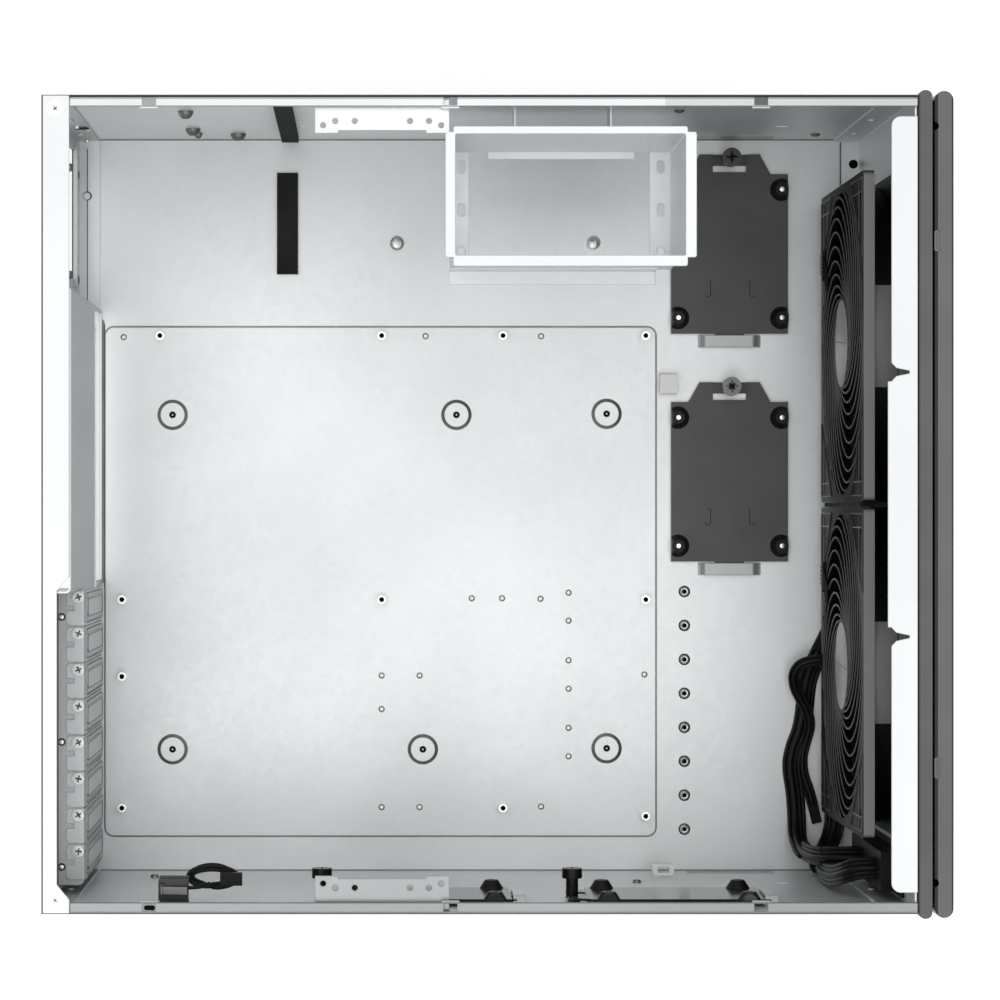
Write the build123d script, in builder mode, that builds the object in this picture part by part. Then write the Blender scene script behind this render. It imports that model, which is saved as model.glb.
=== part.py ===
"""Empty five-unit rackmount server case with its top cover off.

The case lies on its floor, +X to the front, +Y to the power supply side and +Z up.
The origin is the middle of the footprint, on the underside. Millimetres.
"""

import math
import os

from build123d import *

os.makedirs("parts", exist_ok=True)

# Case body
body_length = 470.0
body_width = 440.0
body_height = 220.0
sheet = 1.2
fold_radius = 2.0
rim_width = 6.5
overrun = 1.0
clearance = 0.3

# Front assembly, outwards from the case body
bezel_gap = 0.6
bezel_thickness = 7.3
bezel_overhang = 2.3
door_gap = 1.3
door_thickness = 10.0
door_inset = 0.5

overall_length = body_length + bezel_gap + bezel_thickness + door_gap + door_thickness
rear_x = -overall_length / 2
front_x = rear_x + body_length
bezel_x = front_x + bezel_gap
bezel_face_x = bezel_x + bezel_thickness
door_x = bezel_face_x + door_gap
door_face_x = door_x + door_thickness
half_width = body_width / 2
wall_y = half_width - sheet
floor_z = sheet

# Rear panel
rear_flange_depth = 14.9
slot_flange_depth = 8.3
recess_depth = 14.5
rear_side_flange = 14.1
rear_corner_gap = 0.4
flange_chamfer = 8.0

# Expansion slots and board opening, by the common board standard
slot_pitch = 20.32
slot_row_inset = 3.76
slot_centre_offset = 6.2
slot_count = 8
slot_opening_width = 14.0
slot_opening_low = 22.0
slot_ledge_z = 136.0
slot_ledge_margin = 4.0
slot_end_margin = 18.0
slot_head_margin = 5.2
io_width = 158.75
io_height = 44.45
io_low = 4.5
io_margin = 2.1

# Power supply opening, the supply standing on its side
psu_width = 86.0
psu_height = 150.0
psu_low = 29.0
psu_gap = 12.0
psu_lip = 2.2
psu_screw_radius = 1.9
psu_screw_inset = 6.0
psu_frame_inset = 5.0

# Board area: a raised field of the floor with standoffs
board_length = 329.0
board_width = 304.0
board_corner = 5.0
board_raise = 1.5
board_rear_inset = 17.8
board_side_inset = 21.0
board_x0 = rear_x + board_rear_inset
board_y0 = -wall_y + board_side_inset
board_z = floor_z + board_raise
standoff_radius = 2.6
standoff_bore = 1.5
standoff_top = 9.4
standoff_shares = [
    (0.100, 0.983), (0.502, 0.983), (0.722, 0.983), (0.981, 0.983), (0.031, 0.465), (0.502, 0.465),
    (0.981, 0.465), (0.031, 0.314), (0.031, 0.056), (0.722, 0.056), (0.981, 0.040),
]
board_hole_radius = 1.6
board_hole_shares = [
    (0.033, 0.981), (0.582, 0.983), (0.792, 0.983), (0.666, 0.467), (0.721, 0.467), (0.791, 0.466),
    (0.842, 0.478), (0.842, 0.423), (0.842, 0.345), (0.842, 0.289), (0.842, 0.212), (0.842, 0.156),
    (0.980, 0.317), (0.502, 0.315), (0.571, 0.315), (0.502, 0.249), (0.502, 0.056), (0.571, 0.056),
    (0.792, 0.057),
]
dish_radius = 9.0
dish_top_radius = 7.2
dish_height = 1.0
dish_hole_radius = 1.8
dish_shares = [(0.122, 0.828), (0.638, 0.828), (0.911, 0.830), (0.122, 0.170), (0.577, 0.170), (0.911, 0.172)]

slot_screw_ys = [board_y0 + slot_row_inset + slot_pitch * i for i in range(slot_count)]
slots_low_y = slot_screw_ys[0] - slot_end_margin
slots_high_y = slot_screw_ys[-1] + slot_head_margin
io_y = slots_high_y + io_margin + io_width / 2
jog_y = io_y + io_width / 2 + io_margin
psu_y = jog_y + psu_gap + psu_width / 2
recess_x = rear_x + recess_depth
recess_face_x = recess_x + sheet
top_z = body_height - sheet


def folded_section(plane, points, thickness, radius):
    """Section of a folded sheet: its outer line, rounded at the folds, thickened to the left."""
    with BuildSketch(plane) as section:
        with BuildLine():
            FilletPolyline(*points, radius=radius)
            offset(amount=thickness, side=Side.LEFT)
        make_face()
    return section.sketch


def block(x_range, y_range, z_range, mode=Mode.ADD):
    """A rectangular block between two corners."""
    size = [high - low for low, high in (x_range, y_range, z_range)]
    middle = [(high + low) / 2 for low, high in (x_range, y_range, z_range)]
    with Locations(tuple(middle)):
        Box(*size, mode=mode)


def on_board(shares):
    """Places on the board area, given as shares of its length and width."""
    return [(board_x0 + along * board_length, board_y0 + across * board_width) for along, across in shares]


# Chassis base: floor and side walls folded from one sheet, with inward rims
rim_y = half_width - rim_width
notch_length = 7.3
notch_depth = 4.9
bridge_proud = 1.1
bridge_width = 1.8
notch_shares = [0.1228, 0.4668, 0.8215]
tap_hole_radius = 1.7
tap_row_gap = 17.4
tap_row_x = board_x0 + board_length + tap_row_gap
rail_slot_length = 8.5
rail_slot_width = 4.0
rail_slot_z = 72.0
rail_slot_shares = [0.2940, 0.4888, 0.8815]
loop_span = 35.5
loop_depth = 7.0
loop_rise = 3.4
loop_ramp = 3.4

# 2.5 inch drive trays, two on the floor and two on the wall
tray_width = 69.8
tray_length = 95.4
tray_plate = 1.1
tray_tab_length = 11.8
tray_tab_width = 35.9
tray_shoulder = 6.6
tray_screw_from_end = 2.9
tray_window = 20.0
tray_window_depth = 10.6
tray_step_depth = 6.7
tray_hole_span = 61.72
tray_hole_reach = 76.6
tray_hole_from_screw = 18.3
tray_dish_radius = 6.5
tray_dish_top = 3.5
tray_dish_height = 4.6
tray_hole_radius = 1.7
tray_tongue = 17.0
tray_tongue_length = 4.5
tray_from_front = 79.0
floor_tray_insets = [12.1, 148.3]
wall_tray_from_rear = [149.6, 288.1]
wall_tray_z = 158.0
thumb_radius = 5.6
thumb_height = 16.4
thumb_shank_radius = 1.5
thumb_hole_radius = 1.9
thumb_head_gap = 2.0


def tray_planes():
    """Where each tray's screw meets the sheet that carries it: two on the floor, two on the wall."""
    planes = []
    for inset in floor_tray_insets:
        planes.append(Plane(origin=(front_x - tray_from_front, wall_y - inset, floor_z)))
    for from_rear in wall_tray_from_rear:
        planes.append(
            Plane(origin=(rear_x + from_rear, -wall_y, wall_tray_z), x_dir=(0, 0, -1), z_dir=(0, 1, 0))
        )
    return planes


def tray_loop_section(plane):
    """Side view of the lanced loop that holds a tray's tongue."""
    half = loop_span / 2
    flat = half - loop_ramp
    side = Plane(origin=plane.origin, x_dir=plane.x_dir, z_dir=plane.y_dir)
    points = [(half, sheet / 2), (flat, -loop_rise), (-flat, -loop_rise), (-half, sheet / 2)]
    return folded_section(side, points, -sheet, fold_radius)


tray_end_y = -(tray_length + tray_tab_length - tray_screw_from_end)

with BuildPart() as chassis_base:
    outer_line = [
        (-rim_y, body_height), (-half_width, body_height), (-half_width, 0),
        (half_width, 0), (half_width, body_height), (rim_y, body_height),
    ]
    extrude(folded_section(Plane.YZ.offset(rear_x), outer_line, sheet, fold_radius), amount=body_length)
    rear_relief = (rear_x - overrun, rear_x + rear_flange_depth + rear_corner_gap)
    block(rear_relief, (-half_width, half_width), (top_z, body_height + overrun), Mode.SUBTRACT)
    notch_low = top_z - overrun
    for share in notch_shares:
        notch_x = rear_x + share * body_length
        notch_range = (notch_x - notch_length / 2, notch_x + notch_length / 2)
        for side in (-1, 1):
            notch_ys = sorted((side * (rim_y - overrun), side * (rim_y + notch_depth)))
            block(notch_range, notch_ys, (notch_low, body_height + overrun), Mode.SUBTRACT)
            bridge_range = (notch_range[0] - sheet, notch_range[1] + sheet)
            bridge_inner = side * (rim_y - bridge_proud)
            bridge_ys = sorted((bridge_inner, bridge_inner + side * bridge_width))
            block(bridge_range, bridge_ys, (top_z, body_height))
    with BuildSketch(Plane.XY.offset(floor_z)):
        with Locations((board_x0 + board_length / 2, board_y0 + board_width / 2)):
            RectangleRounded(board_length, board_width, board_corner)
    extrude(amount=board_raise)
    with BuildSketch(Plane.XY):
        with Locations((board_x0 + board_length / 2, board_y0 + board_width / 2)):
            RectangleRounded(board_length - 2 * sheet, board_width - 2 * sheet, board_corner - sheet)
    extrude(amount=board_raise, mode=Mode.SUBTRACT)
    for place in on_board(dish_shares):
        with Locations((*place, board_z + dish_height / 2)):
            Cone(dish_radius, dish_top_radius, dish_height)
    with BuildSketch(Plane.XY):
        with Locations(*on_board(dish_shares)):
            Circle(dish_hole_radius)
        with Locations(*on_board(board_hole_shares)):
            Circle(board_hole_radius)
        with Locations(*[(tap_row_x, y) for y in slot_screw_ys]):
            Circle(tap_hole_radius)
    extrude(amount=board_z + dish_height + overrun, mode=Mode.SUBTRACT)
    with BuildSketch(Plane.XZ.offset(-half_width - overrun)):
        with Locations(*[(rear_x + share * body_length, rail_slot_z) for share in rail_slot_shares]):
            SlotOverall(rail_slot_length, rail_slot_width)
    extrude(amount=body_width + 2 * overrun, mode=Mode.SUBTRACT)
    for plane in tray_planes():
        end_point = plane.from_local_coords((0, tray_end_y - tray_tongue_length, 0))
        loop_plane = Plane(origin=end_point, x_dir=plane.x_dir, z_dir=plane.z_dir)
        extrude(tray_loop_section(loop_plane), amount=loop_depth / 2, both=True)
        with BuildSketch(plane):
            Circle(thumb_shank_radius + clearance)
        extrude(amount=-sheet, mode=Mode.SUBTRACT)
chassis_base.part.label = "chassis_base"
export_step(chassis_base.part, "parts/chassis_base.step")

# Rear panel: one folded sheet, set inwards behind the board opening and the slots
slot_vent_width = 4.0
slot_vent_height = 56.0
slot_vent_low = 148.0
corner_screw_from_rear = 7.4
corner_screw_from_side = 7.6
corner_screw_x = rear_x + corner_screw_from_rear
corner_screw_y = half_width - corner_screw_from_side
small_shank_radius = 1.5
slot_screw_from_wall = 2.9
slot_screw_x = recess_face_x - slot_screw_from_wall

with BuildPart() as rear_panel:
    flange_end_x = rear_x + rear_side_flange
    low_line = [
        (flange_end_x, wall_y), (rear_x, wall_y), (rear_x, jog_y), (recess_x, jog_y),
        (recess_x, slots_low_y), (rear_x, slots_low_y), (rear_x, -wall_y), (flange_end_x, -wall_y),
    ]
    high_line = [
        (flange_end_x, wall_y), (rear_x, wall_y), (rear_x, jog_y), (recess_x, jog_y),
        (recess_x, slots_high_y), (rear_x, slots_high_y), (rear_x, -wall_y), (flange_end_x, -wall_y),
    ]
    low_plane = Plane.XY.offset(floor_z)
    extrude(folded_section(low_plane, low_line, sheet, sheet + clearance), amount=slot_ledge_z - floor_z)
    high_plane = Plane.XY.offset(slot_ledge_z)
    extrude(folded_section(high_plane, high_line, sheet, sheet + clearance), amount=top_z - slot_ledge_z)
    ledge_x = (rear_x + sheet / 2, recess_face_x)
    block(ledge_x, (slots_low_y, slots_high_y), (slot_ledge_z - sheet, slot_ledge_z))
    block((rear_x + fold_radius, recess_x), (-wall_y, wall_y), (floor_z, floor_z + sheet))
    with BuildSketch(Plane.XY.offset(top_z)) as top_flange:
        with BuildLine():
            deep_x = rear_x + rear_flange_depth
            shallow_x = rear_x + slot_flange_depth
            edge_y = half_width - rear_corner_gap
            Polyline(
                (rear_x, -edge_y), (rear_x, edge_y), (deep_x, edge_y), (deep_x, slots_high_y + flange_chamfer),
                (shallow_x, slots_high_y), (shallow_x, slots_low_y + flange_chamfer),
                (deep_x, slots_low_y), (deep_x, -edge_y), (rear_x, -edge_y),
            )
        make_face()
    extrude(amount=sheet)
    with BuildSketch(Plane.XY.offset(body_height)):
        with Locations(*[(corner_screw_x, side * corner_screw_y) for side in (-1, 1)]):
            Circle(small_shank_radius + clearance)
    extrude(amount=-sheet, mode=Mode.SUBTRACT)
    with BuildSketch(Plane.XY.offset(slot_ledge_z)):
        with Locations(*[(slot_screw_x, y) for y in slot_screw_ys]):
            Circle(small_shank_radius + clearance)
    extrude(amount=-sheet, mode=Mode.SUBTRACT)
    psu_span = (psu_y - psu_width / 2, psu_y + psu_width / 2)
    psu_rise = (psu_low, psu_low + psu_height)
    through_rear = (rear_x - overrun, rear_x + sheet + overrun)
    lip_span = (psu_span[0], psu_span[1] - psu_lip)
    block((rear_x + sheet, rear_x + sheet + psu_lip), lip_span, (psu_low - sheet, psu_low))
    inner_span = (psu_span[0] + psu_frame_inset, psu_span[1] - psu_frame_inset)
    inner_rise = (psu_rise[0], psu_rise[1] - 2 * psu_frame_inset)
    block(through_rear, inner_span, inner_rise, Mode.SUBTRACT)
    with BuildSketch(Plane.YZ.offset(rear_x)):
        for along in (psu_span[0] + psu_screw_inset, psu_span[1] - psu_screw_inset):
            with Locations((along, psu_rise[1] - psu_screw_inset), (along, psu_rise[0] - psu_screw_inset)):
                Circle(psu_screw_radius)
    extrude(amount=sheet, mode=Mode.SUBTRACT)
    block(
        (recess_x - overrun, recess_face_x + overrun),
        (io_y - io_width / 2, io_y + io_width / 2),
        (io_low, io_low + io_height),
        Mode.SUBTRACT,
    )
    for y in slot_screw_ys:
        slot_y = y - slot_centre_offset
        span = (slot_y - slot_opening_width / 2, slot_y + slot_opening_width / 2)
        rise = (slot_opening_low, slot_ledge_z - sheet - slot_ledge_margin)
        block((recess_x - overrun, recess_face_x + overrun), span, rise, Mode.SUBTRACT)
        for half_pitch in (-1, 1):
            vent_y = slot_y + half_pitch * slot_pitch / 4
            vent_span = (vent_y - slot_vent_width / 2, vent_y + slot_vent_width / 2)
            vent_rise = (slot_vent_low, slot_vent_low + slot_vent_height)
            block(through_rear, vent_span, vent_rise, Mode.SUBTRACT)
rear_panel.part.label = "rear_panel"
export_step(rear_panel.part, "parts/rear_panel.step")

# Slot covers, each hung on the ledge by a screw
cover_gap = 0.7
cover_thickness = 0.9
cover_low_z = 16.0
cover_tab_depth = 10.5
cover_pad_inset = 4.0
cover_pad_low = 26.0
cover_pad_high = 126.0
cover_pad_rise = 0.8
cover_notch_width = 2.8
cover_notch_depth = 4.4
cover_corner = 2.4
small_head_radius = 3.3
small_head_height = 2.2
small_shank_length = 5.0
cross_width = 1.1
cross_reach_share = 0.62
cross_depth_share = 0.6


def pan_screw(plane, head_radius, head_height, shank_radius, shank_length):
    """A cross-slotted pan-head screw seated on a plane, its shank going down through it."""
    reach = 2 * head_radius * cross_reach_share
    with BuildPart() as screw:
        with BuildSketch(plane):
            Circle(head_radius)
        extrude(amount=head_height)
        with BuildSketch(plane.offset(head_height)):
            Rectangle(reach, cross_width)
            Rectangle(cross_width, reach)
        extrude(amount=-head_height * cross_depth_share, mode=Mode.SUBTRACT)
        with BuildSketch(plane):
            Circle(shank_radius)
        extrude(amount=-shank_length)
    return screw.part


cover_width = slot_pitch - cover_gap
for number, screw_y in enumerate(reversed(slot_screw_ys), start=1):
    cover_y = screw_y - slot_centre_offset
    with BuildPart() as slot_cover:
        cover_end_x = recess_face_x + cover_thickness
        tab_z = slot_ledge_z + cover_thickness
        cover_line = [(cover_end_x, cover_low_z), (cover_end_x, tab_z), (cover_end_x - cover_tab_depth, tab_z)]
        cover_plane = Plane.XZ.offset(-cover_y)
        extrude(folded_section(cover_plane, cover_line, cover_thickness, sheet), amount=cover_width / 2, both=True)
        pad_span = (cover_y - cover_width / 2 + cover_pad_inset, cover_y + cover_width / 2 - cover_pad_inset)
        block((cover_end_x, cover_end_x + cover_pad_rise), pad_span, (cover_pad_low, cover_pad_high))
        tab_end_x = cover_end_x - cover_tab_depth
        notch_span = (cover_y - cover_notch_width / 2, cover_y + cover_notch_width / 2)
        notch_range = (tab_end_x - overrun, tab_end_x + cover_notch_depth)
        block(notch_range, notch_span, (slot_ledge_z - overrun, tab_z + overrun), Mode.SUBTRACT)
        fillet(slot_cover.edges().filter_by(Axis.Z).filter_by_position(Axis.X, tab_end_x - clearance,
               tab_end_x + clearance).group_by(Axis.Y)[0], cover_corner)
        fillet(slot_cover.edges().filter_by(Axis.Z).filter_by_position(Axis.X, tab_end_x - clearance,
               tab_end_x + clearance).group_by(Axis.Y)[-1], cover_corner)
        with BuildSketch(Plane.XY.offset(tab_z)):
            with Locations((slot_screw_x, screw_y)):
                Circle(small_shank_radius + clearance)
        extrude(amount=-cover_thickness, mode=Mode.SUBTRACT)
    slot_cover.part.label = f"slot_cover_{number}"
    export_step(slot_cover.part, f"parts/slot_cover_{number}.step")

with BuildPart() as slot_screws:
    for screw_y in slot_screw_ys:
        seat = Plane(origin=(slot_screw_x, screw_y, slot_ledge_z + cover_thickness))
        add(pan_screw(seat, small_head_radius, small_head_height, small_shank_radius, small_shank_length))
slot_screws.part.label = "slot_screws"
export_step(slot_screws.part, "parts/slot_screws.step")

# Screws through the rear corners of the top flange
corner_screw_radius = 4.6
corner_screw_height = 0.5
corner_screw_length = 4.0

with BuildPart() as corner_screws:
    for side in (-1, 1):
        seat = Plane(origin=(corner_screw_x, side * corner_screw_y, body_height))
        add(pan_screw(seat, corner_screw_radius, corner_screw_height, small_shank_radius, corner_screw_length))
corner_screws.part.label = "corner_screws"
export_step(corner_screws.part, "parts/corner_screws.step")

# Fans, side by side behind the front panel
fan_size = 180.0
fan_depth = 25.0
fan_pad_width = 3.0
fan_low = 20.0
fan_bore = 172.0
fan_wall = 2.0
fan_flange = 6.0
fan_corner_radius = 4.0
fan_screw_span = 154.0
fan_screw_hole = 2.3
fan_hub_radius = 27.0
fan_hub_depth = 4.3
fan_axle_radius = 1.6
fan_axle_bore = 3.0
fan_axle_reach = 2.0
vane_count = 24
vane_thickness = 1.0
vane_depth = 4.0
vane_turn = 140.0
vane_bulge = 0.82
vane_early = 0.42
rotor_gap = 0.5
running_gap = 0.06
rotor_hub_depth = 15.0
rotor_tip_gap = 1.5
blade_count = 9
blade_thickness = 2.0
blade_chord = 32.0
blade_root_angle = 42.0
blade_tip_angle = 25.0
blade_root_share = 0.6

# Front panel
front_flange_depth = 14.0
front_flange_half = 208.2
front_floor_flange = 11.0
front_side_flange = 16.8
front_notch_depth = 9.7
front_notch_tip = 1.4
front_notch_neck = 4.4
front_notch_neck_depth = 2.6
front_notch_mouth = 10.0
front_middle_reach = 1.9
front_corner_radius = 5.0
front_notch_offset = 71.0
rim_gap = 1.2
io_panel_width = 22.0
io_panel_low = 62.0
io_panel_high = 178.0
io_panel_from_wall = 6.4

fan_z = fan_low + fan_size / 2
fan_front_x = front_x - sheet
fan_rear_x = fan_front_x - fan_depth
fan_ys = [side * (fan_size + fan_pad_width) / 2 for side in (1, -1)]
fan_screw_places = [
    (fan_y + side * fan_screw_span / 2, fan_z + end * fan_screw_span / 2)
    for fan_y in fan_ys
    for side in (-1, 1)
    for end in (-1, 1)
]
io_panel_y = -wall_y + io_panel_from_wall + io_panel_width / 2
io_panel_z = (io_panel_low + io_panel_high) / 2
io_panel_height = io_panel_high - io_panel_low
front_rim_z = body_height - sheet - rim_gap

with BuildPart() as front_panel:
    side_end_x = front_x - front_side_flange
    plan_line = [
        (side_end_x, -wall_y), (front_x, -wall_y), (front_x, wall_y), (side_end_x, wall_y),
    ]
    low_plane = Plane.XY.offset(floor_z)
    extrude(folded_section(low_plane, plan_line, sheet, fold_radius), amount=front_rim_z - floor_z)
    block((front_x - front_floor_flange, front_x - sheet), (-wall_y + sheet, wall_y - sheet), (floor_z, 2 * sheet))
    top_span = (-front_flange_half, front_flange_half)
    block((front_x - sheet, front_x), top_span, (front_rim_z, body_height))
    with BuildSketch(Plane.XY.offset(top_z)):
        with BuildLine():
            inner_x = front_x - front_flange_depth
            Polyline(
                (front_x, -front_flange_half), (front_x, front_flange_half),
                (inner_x, front_flange_half), (inner_x, -front_flange_half), (front_x, -front_flange_half),
            )
        flange_face = make_face()
        fillet(flange_face.vertices().group_by(Axis.X)[0], front_corner_radius)
        with Locations((inner_x, 0)):
            Rectangle(2 * front_middle_reach, 2 * front_notch_offset)
        for side in (-1, 1):
            notch_y = side * front_notch_offset
            mouth_x = inner_x - front_middle_reach - overrun
            neck_x = inner_x + front_notch_neck_depth
            tip_x = inner_x + front_notch_depth
            with BuildLine():
                Polyline(
                    (mouth_x, notch_y - front_notch_mouth / 2), (inner_x, notch_y - front_notch_mouth / 2),
                    (neck_x, notch_y - front_notch_neck / 2), (tip_x, notch_y - front_notch_tip / 2),
                    (tip_x, notch_y + front_notch_tip / 2), (neck_x, notch_y + front_notch_neck / 2),
                    (inner_x, notch_y + front_notch_mouth / 2), (mouth_x, notch_y + front_notch_mouth / 2),
                    (mouth_x, notch_y - front_notch_mouth / 2),
                )
            make_face(mode=Mode.SUBTRACT)
    extrude(amount=sheet)
    with BuildSketch(Plane.YZ.offset(front_x + overrun)):
        with Locations(*[(fan_y, fan_z) for fan_y in fan_ys]):
            Circle(fan_bore / 2)
        with Locations(*fan_screw_places):
            Circle(fan_screw_hole)
        with Locations((io_panel_y, io_panel_z)):
            Rectangle(io_panel_width + 2 * clearance, io_panel_height + 2 * clearance)
    extrude(amount=-sheet - 2 * overrun, mode=Mode.SUBTRACT)
front_panel.part.label = "front_panel"
export_step(front_panel.part, "parts/front_panel.step")


def vane_line(centre, start_angle):
    """One grille vane's centre line, an arc sweeping from the hub to the duct."""
    def polar(radius, angle):
        return (
            centre[0] + radius * math.cos(math.radians(angle)),
            centre[1] + radius * math.sin(math.radians(angle)),
        )
    inner = polar(fan_hub_radius - vane_thickness, start_angle)
    outer = polar(fan_bore / 2 + fan_wall / 2, start_angle + vane_turn)
    halfway = (fan_hub_radius + fan_bore / 2) / 2 * vane_bulge
    middle = polar(halfway, start_angle + vane_turn * vane_early)
    return inner, middle, outer


for number, fan_y in enumerate(fan_ys, start=1):
    centre = (fan_y, fan_z)
    rear_plane = Plane.YZ.offset(fan_rear_x)
    with BuildPart() as fan_frame:
        for flange_x in (fan_rear_x, fan_front_x - fan_flange):
            with BuildSketch(Plane.YZ.offset(flange_x)):
                with Locations(centre):
                    RectangleRounded(fan_size, fan_size, fan_corner_radius)
                    Circle(fan_bore / 2, mode=Mode.SUBTRACT)
                with Locations(*fan_screw_places[4 * number - 4:4 * number]):
                    Circle(fan_screw_hole, mode=Mode.SUBTRACT)
            extrude(amount=fan_flange)
        with BuildSketch(rear_plane):
            with Locations(centre):
                Circle(fan_bore / 2 + fan_wall)
                Circle(fan_bore / 2, mode=Mode.SUBTRACT)
        extrude(amount=fan_depth)
        with BuildSketch(rear_plane):
            for vane in range(vane_count):
                with BuildLine():
                    ThreePointArc(*vane_line(centre, 360 / vane_count * vane))
                    offset(amount=vane_thickness / 2)
                make_face()
        extrude(amount=vane_depth)
        with BuildSketch(rear_plane):
            with Locations(centre):
                Circle(fan_hub_radius)
        extrude(amount=fan_hub_depth)
        with BuildSketch(rear_plane.offset(fan_hub_depth)):
            with Locations(centre):
                Circle(fan_axle_radius + running_gap)
        extrude(amount=-fan_axle_bore, mode=Mode.SUBTRACT)
    fan_frame.part.label = f"fan_frame_{number}"
    export_step(fan_frame.part, f"parts/fan_frame_{number}.step")

    hub_x = fan_rear_x + fan_hub_depth + rotor_gap
    with BuildPart() as fan_rotor:
        with BuildSketch(Plane.YZ.offset(hub_x)):
            with Locations(centre):
                Circle(fan_hub_radius - rotor_gap)
        extrude(amount=rotor_hub_depth)
        fillet(fan_rotor.edges().group_by(Axis.X)[-1], blade_thickness)
        with BuildSketch(Plane.YZ.offset(hub_x)):
            with Locations(centre):
                Circle(fan_axle_radius)
        extrude(amount=-rotor_gap - fan_axle_reach)
        blade_x = hub_x + rotor_hub_depth / 2 + rotor_gap
        tip_radius = fan_bore / 2 - rotor_tip_gap
        for blade in range(blade_count):
            turn = math.radians(360 / blade_count * blade)
            outward = Vector(0, math.cos(turn), math.sin(turn))
            along = Vector(1, 0, 0)
            sections = []
            for radius, angle, share in (
                (fan_hub_radius - 2 * blade_thickness, blade_root_angle, blade_root_share),
                (tip_radius, blade_tip_angle, 1.0),
            ):
                middle = Vector(blade_x, *centre) + outward * radius
                chord_line = along.rotate(Axis((0, 0, 0), tuple(outward)), 90 - angle)
                with BuildSketch(Plane(origin=middle, x_dir=chord_line, z_dir=outward)) as blade_section:
                    Rectangle(blade_chord * share, blade_thickness)
                sections.append(blade_section.sketch)
            loft(sections)
    fan_rotor.part.label = f"fan_rotor_{number}"
    export_step(fan_rotor.part, f"parts/fan_rotor_{number}.step")

# Screws that hold the fans, driven from the front
fan_screw_head = 4.4
fan_screw_head_height = 2.4
fan_screw_shank = 1.9
fan_screw_length = 4.0

with BuildPart() as fan_screws:
    for screw_y, screw_z in fan_screw_places:
        seat = Plane(origin=(front_x, screw_y, screw_z), x_dir=(0, 1, 0), z_dir=(1, 0, 0))
        add(pan_screw(seat, fan_screw_head, fan_screw_head_height, fan_screw_shank, fan_screw_length))
fan_screws.part.label = "fan_screws"
export_step(fan_screws.part, "parts/fan_screws.step")

# Soft strip between the two fans
fan_pad_depth = 19.0
fan_pad_height = 150.0

with BuildPart() as fan_pad:
    pad_range = (fan_front_x - fan_pad_depth - fan_flange, fan_front_x - fan_flange)
    pad_rise = (fan_z - fan_pad_height / 2, fan_z + fan_pad_height / 2)
    block(pad_range, (-fan_pad_width / 2 + clearance, fan_pad_width / 2 - clearance), pad_rise)
fan_pad.part.label = "fan_pad"
export_step(fan_pad.part, "parts/fan_pad.step")

# Bezel: the moulded frame around both fans and the front connections
bezel_round = 3.4
bezel_window_half = 184.0
bezel_window_margin = 16.0
bezel_window_low = bezel_window_margin
bezel_window_high = body_height - bezel_window_margin
bezel_window_corner = 8.0
bezel_boss_radius = 5.0
bezel_boss_inset = 12.0
lug_height = 12.0
lug_nose = 2.4
hinge_zs = [42.0, 178.0]
hinge_pin_radius = 1.2
ear_thickness = 2.0
ear_gap = 0.4
lug_swing = 4.2
door_end_radius = door_thickness / 2
door_half = half_width + bezel_overhang - door_inset
hinge_x = door_x + door_end_radius
hinge_y = door_half - door_end_radius
bezel_half = half_width + bezel_overhang
window_rise = bezel_window_high - bezel_window_low
window_z = (bezel_window_high + bezel_window_low) / 2

with BuildPart() as front_bezel:
    with BuildSketch(Plane.YZ.offset(bezel_x)):
        with Locations((0, body_height / 2)):
            Rectangle(2 * bezel_half, body_height)
    extrude(amount=bezel_thickness)
    fillet(front_bezel.edges().filter_by(Axis.Z), bezel_round)
    with BuildSketch(Plane.YZ.offset(bezel_x - overrun)):
        with Locations((0, window_z)):
            RectangleRounded(2 * bezel_window_half, window_rise, bezel_window_corner)
        with Locations((io_panel_y, io_panel_z)):
            Rectangle(io_panel_width + 2 * clearance, io_panel_height + 2 * clearance)
    extrude(amount=bezel_thickness + 2 * overrun, mode=Mode.SUBTRACT)
    with BuildSketch(Plane.YZ.offset(front_x)):
        for side in (-1, 1):
            for boss_z in (bezel_boss_inset, body_height - bezel_boss_inset):
                with Locations((side * (half_width - bezel_boss_inset), boss_z)):
                    Circle(bezel_boss_radius)
    extrude(amount=bezel_gap)
    for lug_z in hinge_zs:
        with BuildSketch(Plane.XY.offset(lug_z - lug_height / 2)):
            with Locations((hinge_x, hinge_y)):
                Circle(lug_nose)
            with Locations(((bezel_face_x - overrun + hinge_x) / 2, hinge_y)):
                Rectangle(hinge_x - bezel_face_x + overrun, 2 * lug_nose)
            with Locations((hinge_x, hinge_y)):
                Circle(hinge_pin_radius + running_gap, mode=Mode.SUBTRACT)
        extrude(amount=lug_height)
front_bezel.part.label = "front_bezel"
export_step(front_bezel.part, "parts/front_bezel.step")

# Door: a shallow pan with round ends, hinged on two pins at the supply side
door_skin = 1.2
door_window_half = 180.0
door_window_margin = 18.0
door_window_low = door_window_margin
door_window_high = body_height - door_window_margin
door_window_corner = 6.0
relief_radius = 2.2
relief_half = 203.0
clip_half = 141.4
clip_length = 10.8
clip_width = 2.2
clip_height = 7.0
clip_wall = 0.8
door_window_rise = door_window_high - door_window_low
door_window_z = (door_window_high + door_window_low) / 2


def door_outline(inset):
    """Plan of the door: straight faces between two half-round ends."""
    with BuildSketch(Plane.XY.offset(inset)) as outline:
        with Locations(((door_x + door_face_x) / 2, 0)):
            SlotOverall(2 * (door_half - inset), door_thickness - 2 * inset, rotation=90)
    return outline.sketch


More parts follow.
